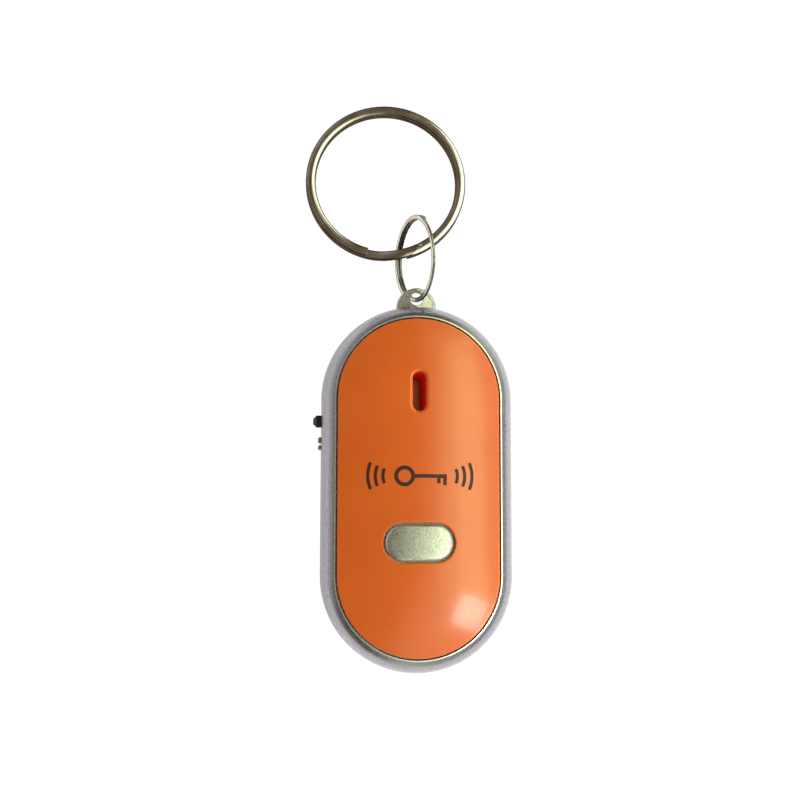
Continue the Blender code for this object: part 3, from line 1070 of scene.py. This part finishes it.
@dataclass
class PushButton:
    """The silver pill button."""

    flange: float = 0.58
    flange_z: float = 9.25
    skirt: float = 0.5
    edge: float = 0.42
    crown: float = 0.03
    bend: float = 0.011
    half_y: float = field(init=False)
    straight: float = field(init=False)
    middle: Triple = field(init=False)
    height: Pair = field(init=False)

    def __post_init__(self) -> None:
        """Reads the outer sizes from the model."""
        low, high = node_box("push_button")
        self.half_y = (high.y - low.y) / 2
        self.straight = (high.x - low.x) / 2 - self.half_y
        self.middle = ((low.x + high.x) / 2, (low.y + high.y) / 2, 0)
        self.height = (low.z, high.z)

    @property
    def radius(self) -> float:
        """The radius of the cap's round ends, above the flange."""
        return self.half_y - self.flange

    def build(self, looks: Finishes) -> None:
        """Makes the button with a slightly crowned top.

        Args:
            looks: the finishes.
        """
        bottom, top = self.height
        flat = self.radius - self.edge
        cap = [flat * i / 6 for i in range(5, -1, -1)]
        walls = [
            (0.0, bottom),
            (self.half_y, bottom),
            (self.half_y, self.flange_z),
            (self.radius, self.flange_z),
            *arc((flat, top - self.crown - self.edge), (self.edge, self.edge), 0, 84, 10),
            *[(r, top - self.crown * (r / flat) ** 2) for r in cap],
        ]
        shape = placed(sweep(walls, self.straight, 48, 16), axis=Axis.ALONG_X)
        for vert in shape.verts:
            if vert.co.z > self.flange_z + self.skirt:
                vert.co.z -= self.bend * vert.co.x**2
        piece = make_piece("button_cap", placed(shape, self.middle), 50.0)
        install(piece, Body.BUTTON, looks.button, ("push_button",))


@dataclass
class FrontPanel:
    """The orange panel, its sound tube and the sign printed on it."""

    case: Case
    button: PushButton
    edge_radius: float = 11.6
    edge_z: float = 9.82
    rounding: float = 0.16
    wall: float = 1.2
    under_radii: tuple[float, ...] = (0.0, 2.0, 4.0, 6.0, 8.0, 9.5, 10.5)
    skirt_inside: float = 10.9
    skirt_z: Pair = (7.8, 8.5)
    skirt_chamfer: float = 0.1
    slot_radius: float = 1.0
    slot_straight: float = 1.915
    slot_y: float = 14.07
    slot_lip: float = 0.46
    liner: float = 0.26
    button_gap: float = 0.23
    button_lip: float = 0.2
    tube_bottom: float = 3.1
    tube_wall: float = 0.85
    tube_draft: float = 0.24
    boss_radii: Pair = (0.8, 1.7)
    boss_gap: float = 0.15
    boss_top: float = 8.95
    radius: float = field(init=False)
    top_z: float = field(init=False)

    def __post_init__(self) -> None:
        """Reads the outer sizes from the model."""
        high = node_box("front_panel")[1]
        self.radius, self.top_z = high.x - 0.04, high.z

    def dome(self, x: float, y: float) -> float:
        """The height of the panel's outside.

        Args:
            x: across the panel.
            y: along the panel.

        Returns:
            The height there.
        """
        along = max(0.0, abs(y) - self.case.straight)
        share = math.hypot(x, along) / self.edge_radius
        return self.top_z - (self.top_z - self.edge_z) * share**2

    def drape(self, bm: Shape) -> Shape:
        """Lifts a flat shape onto the panel's outside.

        Args:
            bm: the shape.

        Returns:
            The same bmesh.
        """
        for vert in bm.verts:
            vert.co.z += self.dome(vert.co.x, vert.co.y)
        return bm

    def flared_hole(
        self,
        radius: float,
        straight: float,
        lip: float,
        at: Triple,
        axis: Axis,
        liner: float = 0.0,
    ) -> Shape:
        """A stadium hole whose mouth is rounded over.

        Args:
            radius: its half width.
            straight: half its straight run.
            lip: the size of the rounding.
            at: its centre.
            axis: where it points.
            liner: how much wider it is below the rounding.

        Returns:
            The shape to cut away.
        """
        turns = [math.radians(a) for a in range(0, 81, 8)]
        mouth = [
            (radius + lip * (1 - math.cos(turn)), lip * (math.sin(turn) - 0.975)) for turn in turns
        ]
        below, above = -5.0, 0.5
        wide = mouth[-1][0] + 0.01
        step_z = mouth[0][1] - 0.05
        step = [(radius + liner, step_z), (radius, step_z)] if liner else []
        walls = [(0.0, below), (radius + liner, below), *step, *mouth, (wide, above), (0.0, above)]
        return self.drape(placed(sweep(walls, straight, 32, 12), at, axis))

    def build(self, looks: Finishes) -> None:
        """Makes the panel with its two holes, then what belongs to it.

        Args:
            looks: the finishes.
        """
        shape = sweep(self.profile(), self.case.straight, 120, 60)
        piece = make_piece("orange_panel", shape)
        slot = self.flared_hole(
            self.slot_radius,
            self.slot_straight,
            self.slot_lip,
            (0, self.slot_y, 0),
            Axis.ALONG_Y,
            self.liner,
        )
        hole = self.flared_hole(
            self.button.radius + self.button_gap,
            self.button.straight,
            self.button_lip,
            self.button.middle,
            Axis.ALONG_X,
        )
        carve(piece, [slot, hole], 50.0)
        install(piece, Body.CASE, looks.orange, ("front_panel",))
        self.build_tube(looks)
        self.build_bosses(looks)
        self.build_sign(looks)

    def profile(self) -> Profile:
        """The panel in section, from the middle of its inside to the middle of its outside.

        Returns:
            The profile.
        """
        flat = self.radius - self.rounding
        steps = 40
        outside = [(flat * i / steps, self.dome(flat * i / steps, 0)) for i in range(steps, -1, -1)]
        under = [(r, self.dome(r, 0) - self.wall) for r in self.under_radii]
        rounded = (self.rounding, self.rounding)
        skirt_z, inside_z = self.skirt_z
        edge = [
            (self.skirt_inside, inside_z),
            (self.skirt_inside, skirt_z),
            (self.radius - self.skirt_chamfer, skirt_z),
            (self.radius, skirt_z + self.skirt_chamfer),
            *arc((flat, self.dome(flat, 0) - self.rounding), rounded, 0, 76, 8),
        ]
        return under + edge + outside

    def build_tube(self, looks: Finishes) -> None:
        """Makes the tube that leads the sound from the slot to the sounder.

        Args:
            looks: the finishes.
        """
        under = self.top_z - self.wall - 0.14
        top = self.top_z - self.slot_lip - 0.06
        outer = self.slot_radius + self.tube_wall
        lining = self.slot_radius + self.liner - 0.02
        walls = [
            (self.slot_radius - self.tube_draft, self.tube_bottom),
            (outer, self.tube_bottom),
            (outer, under),
            (lining, under),
            (lining, top),
            (self.slot_radius, top),
        ]
        shape = placed(
            sweep(walls, self.slot_straight, 32, 8, closed=True), (0, self.slot_y, 0)
        )
        tube = make_piece("sound_tube", shape)
        # Its material paints the shaded red and faint glow of the light inside the orange well.
        install(tube, Body.CASE, looks.painted_tube_glow)

    def build_bosses(self, looks: Finishes) -> None:
        """Makes the bosses that the screws bite into.

        Args:
            looks: the finishes.
        """
        foot = node_box("circuit_board")[1].z + self.boss_gap
        inner, outer = self.boss_radii
        walls = [(inner, foot), (outer, foot), (outer, self.boss_top), (inner, self.boss_top)]
        for i, screw in enumerate(SCREWS, 1):
            middle = node_middle(screw)
            shape = placed(sweep(walls, 0, 20, closed=True), (middle.x, middle.y, 0))
            boss = make_piece(f"panel_boss_{i}", shape)
            install(boss, Body.CASE, looks.orange)

    def build_sign(self, looks: Finishes) -> None:
        """Prints a plain sign on the panel: a key between two sets of sound waves.

        Args:
            looks: the finishes.
        """
        line, height, sink = 0.45, 0.045, 0.02
        bow_x, bow_radius, shaft_end = -2.3, 1.25, 3.9
        bm = bmesh.new()
        self.ribbon(bm, (bow_x, bow_radius), line * 1.25, 0, 360, 48)
        start = bow_x + bow_radius + line * 0.6
        self.bar(bm, ((start + shaft_end) / 2, 0), (shaft_end - start, line * 1.2), (14, 1))
        for x, length in ((shaft_end - line * 0.55, 1.05), (shaft_end - line * 2.6, 0.8)):
            self.bar(bm, (x, -line * 0.6 - length / 2), (line * 1.1, length), (1, 3))
        for way, turn in ((1, 0), (-1, 180)):
            for reach in (2.6, 3.7, 4.8):
                self.ribbon(bm, (way * 2.9, reach), line, turn - 24, turn + 24, 18)
        sheet = bm.faces[:]
        top = bmesh.ops.extrude_face_region(bm, geom=sheet, use_keep_orig=True)["geom"]
        raised = [item for item in top if isinstance(item, bmesh.types.BMVert)]
        bmesh.ops.translate(bm, verts=raised, vec=(0, 0, height))
        bmesh.ops.translate(bm, verts=bm.verts, vec=(0.1, 1.5, -sink))
        bmesh.ops.recalc_face_normals(bm, faces=bm.faces)
        install(make_piece("printed_sign", self.drape(bm)), Body.CASE, looks.ink)

    @staticmethod
    def bar(bm: Shape, middle: Pair, size: Pair, segments: tuple[int, int]) -> None:
        """Adds a flat straight stroke.

        Args:
            bm: the shape that it joins.
            middle: the stroke's middle.
            size: how far it goes across and along the panel.
            segments: into how many parts it is divided, so that it can follow the dome.
        """
        grid = bmesh.ops.create_grid(bm, x_segments=segments[0], y_segments=segments[1], size=0.5)
        bmesh.ops.scale(bm, verts=grid["verts"], vec=(*size, 1))
        bmesh.ops.translate(bm, verts=grid["verts"], vec=(*middle, 0))

    @staticmethod
    def ribbon(bm: Shape, place: Pair, width: float, start: float, end: float, steps: int) -> None:
        """Adds a flat curved stroke.

        Args:
            bm: the shape that it joins.
            place: the centre's X and the stroke's radius.
            width: how wide the stroke is.
            start: where it starts, in degrees.
            end: where it ends.
            steps: stretches along it.
        """
        centre, radius = place
        turn = math.radians(start)
        along = Vector((math.cos(turn), math.sin(turn), 0))
        middle = Vector((centre, 0, 0))
        verts = [bm.verts.new(middle + along * (radius + way * width / 2)) for way in (-1, 1)]
        bmesh.ops.spin(
            bm,
            geom=[*verts, bm.edges.new(verts)],
            cent=middle,
            axis=(0, 0, 1),
            angle=math.radians(end - start),
            steps=steps,
            use_merge=end - start >= 360,
        )


@dataclass
class SideSwitch:
    """The black lever of the power switch."""

    chamfer: float = 0.5
    rounding: float = 0.05

    def build(self, looks: Finishes) -> None:
        """Makes the lever with a chamfered tip and softened edges.

        Args:
            looks: the finishes.
        """
        low, high = node_box("power_switch_lever")
        shape = block(tuple(low), tuple(high))
        tip_x = low.x + 0.01
        tip = [edge for edge in shape.edges if all(vert.co.x < tip_x for vert in edge.verts)]
        soften(shape, tip, self.chamfer, 1)
        soften(shape, shape.edges[:], self.rounding, 2)
        piece = make_piece("switch_lever", shape, 30.0)
        install(piece, Body.LEVER, looks.black, ("power_switch_lever",))


@dataclass
class BatteryDoor:
    """The round door over the cell, turned with a coin."""

    edge: float = 0.25
    support: float = 0.6
    slot_half: float = 5.2
    slot_width: float = 1.7
    slot_depth: float = 0.65
    slot_rounding: float = 0.25
    dot_radius: float = 0.5
    dot_inset: float = 1.6

    def build(self, looks: Finishes) -> None:
        """Makes the door with its rounded edge, coin slot and two sunk dots.

        Args:
            looks: the finishes.
        """
        low, high = node_box("battery_door")
        radius = (high.x - low.x) / 2
        x, y = (low.x + high.x) / 2, (low.y + high.y) / 2
        walls = [
            (0.0, high.z),
            (radius, high.z),
            *reversed(arc((radius - self.edge, self.edge), (self.edge, self.edge), -90, 0, 6)),
            (radius - self.support, 0.0),
            (0.0, 0.0),
        ]
        piece = make_piece("round_door", placed(sweep(walls, 0, 64), (x, y, 0)))
        outside = -1.0
        slot = block(
            (x - self.slot_half, y - self.slot_width / 2, outside),
            (x + self.slot_half, y + self.slot_width / 2, self.slot_depth),
            self.slot_rounding,
        )
        dot = [(0.0, outside), (self.dot_radius, outside), (self.dot_radius, 0.2), (0.0, 0.3)]
        reach = radius - self.dot_inset
        dots = [placed(sweep(dot, 0, 16), (x, y + way * reach, 0)) for way in (-1, 1)]
        carve(piece, [slot, *dots])
        install(piece, Body.DOOR, looks.silver, ("battery_door",))


@dataclass
class SplitRing:
    """Flat spring wire wound into two layers that lie on each other."""

    name: str
    node: str
    body: Body
    centre: Vector
    turn: Matrix
    radius: float
    wire: Pair
    start: float
    end: float
    jog: Pair
    crown: float = 0.36
    # The painted shade laid along the wire's edges.
    painted_edge_shade: Triple = (0.14, 0.11, 0.09)
    gap: float = 0.03
    corner: float = 0.3

    def section(self) -> Shape:
        """Makes the wire's first end face, standing at the start of the first layer.

        Returns:
            The face.
        """
        width, thickness = self.wire
        bm = bmesh.new()
        bmesh.ops.create_grid(bm, x_segments=10, y_segments=1, size=0.5)
        bmesh.ops.dissolve_faces(bm, faces=bm.faces[:])
        bmesh.ops.scale(bm, verts=bm.verts, vec=(width, thickness - self.crown, 1))
        for vert in bm.verts:
            bulge = 1 - (2 * vert.co.x / width) ** 2
            vert.co.y += math.copysign(self.crown / 2 * bulge, vert.co.y)
        corners = [v for v in bm.verts if abs(v.co.x) > width / 2 - 1e-4]
        bmesh.ops.bevel(
            bm,
            geom=corners,
            offset=thickness * self.corner,
            segments=4,
            profile=0.5,
            affect="VERTICES",
            material=-1,
        )
        upright = Matrix.Rotation(math.pi / 2, 3, "X")
        heading = Matrix.Rotation(math.radians(self.start), 3, "Z")
        bmesh.ops.rotate(bm, verts=bm.verts, matrix=upright)
        low = -(thickness + self.gap) / 2
        bmesh.ops.translate(bm, verts=bm.verts, vec=(self.radius, 0, low))
        bmesh.ops.rotate(bm, verts=bm.verts, matrix=heading)
        return bm

    def level(self, angle: float) -> float:
        """The wire's height above its first layer at an angle along it, in degrees."""
        share = min(max((angle - self.jog[0]) / (self.jog[1] - self.jog[0]), 0.0), 1.0)
        return (self.wire[1] + self.gap) * share * share * (3 - 2 * share)

    def build(self) -> bpy.types.Object:
        """Winds the wire and puts it in place.

        Returns:
            The ring.
        """
        bm = self.section()
        geom = bm.faces[:]
        step = 1.5  # degrees
        count = round((self.end - self.start) / step)
        for i in range(count):
            rise = self.level(self.start + step * (i + 1)) - self.level(self.start + step * i)
            geom = bmesh.ops.spin(
                bm,
                geom=geom,
                cent=(0, 0, 0),
                axis=(0, 0, 1),
                dvec=(0, 0, rise),
                angle=math.radians(step),
                steps=1,
                use_duplicate=False,
            )["geom_last"]
            geom = [item for item in geom if isinstance(item, bmesh.types.BMFace)]
        bmesh.ops.remove_doubles(bm, verts=bm.verts, dist=1e-5)
        bmesh.ops.recalc_face_normals(bm, faces=bm.faces)
        bmesh.ops.rotate(bm, verts=bm.verts, matrix=self.turn)
        bmesh.ops.translate(bm, verts=bm.verts, vec=self.centre)
        look = PolishedNickel(
            name=f"nickel_{self.name}",
            centre=self.centre,
            turn=tuple(self.turn.inverted().to_euler()),
            radius=self.radius,
            width=self.wire[0],
            painted_edge_shade=self.painted_edge_shade,
        ).make()
        piece = make_piece(self.name, bm, 50.0)
        return install(piece, self.body, look, (self.node,))


def small_ring() -> SplitRing:
    """The small ring, which leans back from the hole of the eye tab.

    Returns:
        The ring, ready to build.
    """
    tilt, heading = math.radians(70.1), math.radians(182.5)
    across, along = math.sin(tilt) * math.cos(heading), math.sin(tilt) * math.sin(heading)
    axis = Vector((across, along, math.cos(tilt)))
    near = Vector((-math.sin(heading), math.cos(heading), 0))
    return SplitRing(
        name="small_split_ring",
        node="link_ring",
        body=Body.LINK_RING,
        centre=Vector((-0.2, 34.87, 6.48)),
        turn=Matrix((near, axis.cross(near), axis)).transposed(),
        radius=6.28,
        wire=(0.75, 0.5),
        start=150,
        end=684,
        jog=(345, 505),
        crown=0.2,
        # A lighter painted shade along this ring's edges.
        painted_edge_shade=(0.34, 0.34, 0.33),
    )


def large_ring() -> SplitRing:
    """The large ring, which hangs in the small one and lies on the table at its far side.

    Returns:
        The ring, ready to build.
    """
    outer_radius, wire = 12.5, (1.55, 0.9)
    radius = outer_radius - wire[0] / 2
    rise, start = 1.5, -74.5
    tangent = joint_axis("key_ring_flip")
    near = Vector((0, 0, -1)).cross(tangent).normalized()
    turn = Matrix.Rotation(-math.asin(rise / (2 * outer_radius)), 3, tangent)
    return SplitRing(
        name="large_split_ring",
        node="key_ring",
        body=Body.KEY_RING,
        centre=joint_place("key_ring_flip") - turn @ near * radius,
        turn=turn,
        radius=radius,
        wire=wire,
        start=start,
        end=start + 690,
        jog=(start + 330, start + 360),
    )


@dataclass
class Innards:
    """The parts inside the case that keep the model's own shapes."""

    def dress(self, looks: Finishes) -> None:
        """Gives each of them its material.

        Args:
            looks: the finishes.
        """
        chosen = {
            "circuit_board": looks.board,
            "sound_chip": looks.black,
            "microphone": looks.steel,
            "microphone_felt": looks.felt,
            "signal_led": looks.red,
            "boost_coil": looks.black,
            "coin_cell": looks.steel,
            "positive_contact": looks.gold,
            "negative_contact": looks.gold,
            "sounder_disc": looks.gold,
            "sounder_ceramic": looks.ceramic,
            "sounder_wire_red": looks.red_wire,
            "sounder_wire_black": looks.black,
            "slide_switch_case": looks.steel,
            "tact_switch_body": looks.steel,
            "tact_switch_plunger": looks.black,
            **dict.fromkeys(SCREWS, looks.steel),
        }
        for name, look in chosen.items():
            mesh = frame["nodes"][name].data
            mesh.materials.clear()
            mesh.materials.append(look)
            LOG.info("%s: keeps its shape", name)


@dataclass(frozen=True)
class SoftBox:
    """A rectangular light that faces the case, sized and placed as seen from it."""

    name: str
    toward: Triple
    size: Pair
    strength: float
    colour: Triple
    roll: float = 0.0

    def hang(self, distance: float) -> bpy.types.Object:
        """Makes the light.

        Args:
            distance: how far from the case it hangs, in millimetres.

        Returns:
            The light.
        """
        data = bpy.data.lights.new(self.name, "AREA")
        data.shape = "RECTANGLE"
        data.size, data.size_y = (size * distance * MM for size in self.size)
        data.energy = self.strength * math.pi * data.size * data.size_y
        data.color = self.colour
        light = bpy.data.objects.new(self.name, data)
        bpy.context.scene.collection.objects.link(light)
        away = Vector(self.toward).normalized()
        side = Vector((0, 1, 0)).cross(away).normalized()
        turn = Matrix((side, away.cross(side), away)).transposed()
        turn = turn @ Matrix.Rotation(self.roll, 3, "Z")
        light.matrix_world = Matrix.Translation(away * distance * MM) @ turn.to_4x4()
        return light


LIME = (0.84, 1.0, 0.46)
SIDE_LIGHTS = (
    SoftBox("side_light", (0.362, 0.08, 0.92), (0.15, 0.75), 1.35, LIME, 0.14),
    SoftBox("soft_edge", (0.330, 0.10, 0.93), (0.23, 0.85), 0.6, LIME, 0.14),
    SoftBox("softer_edge", (0.310, 0.12, 0.93), (0.31, 0.95), 0.4, (0.84, 1.0, 0.55), 0.14),
    SoftBox("window", (0.360, -0.228, 0.90), (0.155, 0.165), 7.5, (1.0, 0.95, 0.92), -0.35),
)
LOW_LIGHT = SoftBox("low_light", (0.96, -0.20, 0.19), (1.2, 0.30), 18.0, (1.0, 0.98, 0.90))
RING_CARD = SoftBox("ring_card", (0.60, 0.42, 0.70), (0.5, 0.9), 1.6, (0.90, 1.0, 0.80))


@dataclass
class Studio:
    """Camera, floor and light."""

    camera_place: Vector = field(default_factory=lambda: Vector((-19.40, -8.45, 208.17)))
    camera_ahead: Vector = field(default_factory=lambda: Vector((0.08275, 0.10613, -0.99090)))
    camera_up: Vector = field(default_factory=lambda: Vector((-0.01072, 0.99435, 0.10560)))
    lens: float = 60.75
    sensor: float = 36.0
    floor_tone: Triple = (0.83, 0.81, 0.89)
    floor_half: float = 2000.0
    floor_z: float = -0.1
    floor_glow: float = 0.5
    floor_white: float = 1.05
    light_distance: float = 900.0
    room_direction: Triple = (0.45, -0.2, 0.0)
    room_tones: tuple[tuple[float, Triple], ...] = (
        (0.05, (0.74, 0.72, 0.75)),
        (0.25, (0.18, 0.145, 0.12)),
        (0.40, (0.12, 0.09, 0.065)),
        (0.535, (0.17, 0.14, 0.11)),
        (0.60, (0.85, 0.92, 0.74)),
        (0.68, (1.00, 1.05, 0.85)),
        (0.80, (0.60, 0.61, 0.56)),
        (0.95, (0.45, 0.45, 0.46)),
    )

    def build(self, rings: list[bpy.types.Object]) -> None:
        """Sets up everything that isn't the object.

        Args:
            rings: the rings, which a light of their own picks out.
        """
        self.make_camera()
        self.make_floor()
        self.make_lights(rings)
        self.make_world()
        bpy.context.scene.view_settings.view_transform = "Standard"

    def make_camera(self) -> None:
        """Looks down on the finder, a little from its left and its lower end."""
        data = bpy.data.cameras.new("camera")
        data.lens = self.lens
        data.sensor_width = self.sensor
        data.clip_start, data.clip_end = 0.01, 20.0
        camera = bpy.data.objects.new("camera", data)
        bpy.context.scene.collection.objects.link(camera)
        back = -self.camera_ahead.normalized()
        right = self.camera_up.cross(back).normalized()
        turn = Matrix((right, back.cross(right), back)).transposed()
        camera.matrix_world = Matrix.Translation(self.camera_place * MM) @ turn.to_4x4()
        bpy.context.scene.camera = camera

    def make_floor(self) -> None:
        """A wide white table that can be looked through from below."""
        bm = bmesh.new()
        bmesh.ops.create_grid(bm, x_segments=1, y_segments=1, size=self.floor_half)
        floor = make_piece("floor", placed(bm, (0, 0, self.floor_z)))
        material = bpy.data.materials.new("white_table")
        material.use_nodes = True
        tree = material.node_tree
        shader = tree.nodes["Principled BSDF"]
        shader.inputs["Base Color"].default_value = (*self.floor_tone, 1)
        shader.inputs["Roughness"].default_value = 0.9
        shader.inputs["Emission Color"].default_value = (*self.floor_tone, 1)
        shader.inputs["Emission Strength"].default_value = self.floor_glow
        glow = tree.nodes.new("ShaderNodeEmission")
        glow.inputs["Color"].default_value = (1, 1, 1, 1)
        glow.inputs["Strength"].default_value = self.floor_white
        seen = tree.nodes.new("ShaderNodeLightPath").outputs["Is Camera Ray"]
        mix = tree.nodes.new("ShaderNodeMixShader")
        tree.links.new(seen, mix.inputs["Fac"])
        tree.links.new(shader.outputs["BSDF"], mix.inputs[1])
        tree.links.new(glow.outputs["Emission"], mix.inputs[2])
        clear = tree.nodes.new("ShaderNodeBsdfTransparent")
        under = tree.nodes.new("ShaderNodeNewGeometry").outputs["Backfacing"]
        one_way = tree.nodes.new("ShaderNodeMixShader")
        tree.links.new(under, one_way.inputs["Fac"])
        tree.links.new(mix.outputs["Shader"], one_way.inputs[1])
        tree.links.new(clear.outputs["BSDF"], one_way.inputs[2])
        tree.links.new(one_way.outputs["Shader"], tree.nodes["Material Output"].inputs["Surface"])
        floor.data.materials.append(material)

    def make_lights(self, rings: list[bpy.types.Object]) -> None:
        """Hangs a soft light on the right, a bright one like a window, and two helpers.

        Args:
            rings: the only pieces that the card beside them lights.
        """
        for box in SIDE_LIGHTS:
            box.hang(self.light_distance)
        LOW_LIGHT.hang(self.light_distance).visible_glossy = False
        shown = bpy.data.collections.new("lit_by_ring_card")
        for ring in rings:
            shown.objects.link(ring)
        RING_CARD.hang(self.light_distance).light_linking.receiver_collection = shown

    def make_world(self) -> None:
        """A room that is brown at the upper left and pale at the lower right."""
        world = bpy.data.worlds.new("room")
        bpy.context.scene.world = world
        world.use_nodes = True
        tree = world.node_tree
        point = tree.nodes.new("ShaderNodeTexCoord").outputs["Generated"]
        across = tree.nodes.new("ShaderNodeVectorMath")
        across.operation = "DOT_PRODUCT"
        across.inputs[1].default_value = self.room_direction
        tree.links.new(point, across.inputs[0])
        centred = tree.nodes.new("ShaderNodeMath")
        centred.operation = "ADD"
        centred.inputs[1].default_value = 0.5
        tree.links.new(across.outputs["Value"], centred.inputs[0])
        shades = tree.nodes.new("ShaderNodeValToRGB")
        fill_ramp(shades, self.room_tones)
        tree.links.new(centred.outputs["Value"], shades.inputs["Fac"])
        back = tree.nodes["Background"]
        tree.links.new(shades.outputs["Color"], back.inputs["Color"])
        back.inputs["Strength"].default_value = 1.0


def main() -> None:
    """Builds the finder and its studio."""
    logging.basicConfig(level=logging.INFO, format="%(name)s: %(message)s")
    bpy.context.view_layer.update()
    looks = Finishes()
    case = Case()
    case.build(looks)
    EyeTab(case).build(looks)
    RearShell(case).build(looks)
    button = PushButton()
    FrontPanel(case, button).build(looks)
    button.build(looks)
    SideSwitch().build(looks)
    BatteryDoor().build(looks)
    rings = [ring.build() for ring in (small_ring(), large_ring())]
    Innards().dress(looks)
    Studio().build(rings)


if __name__ == "__main__":
    main()
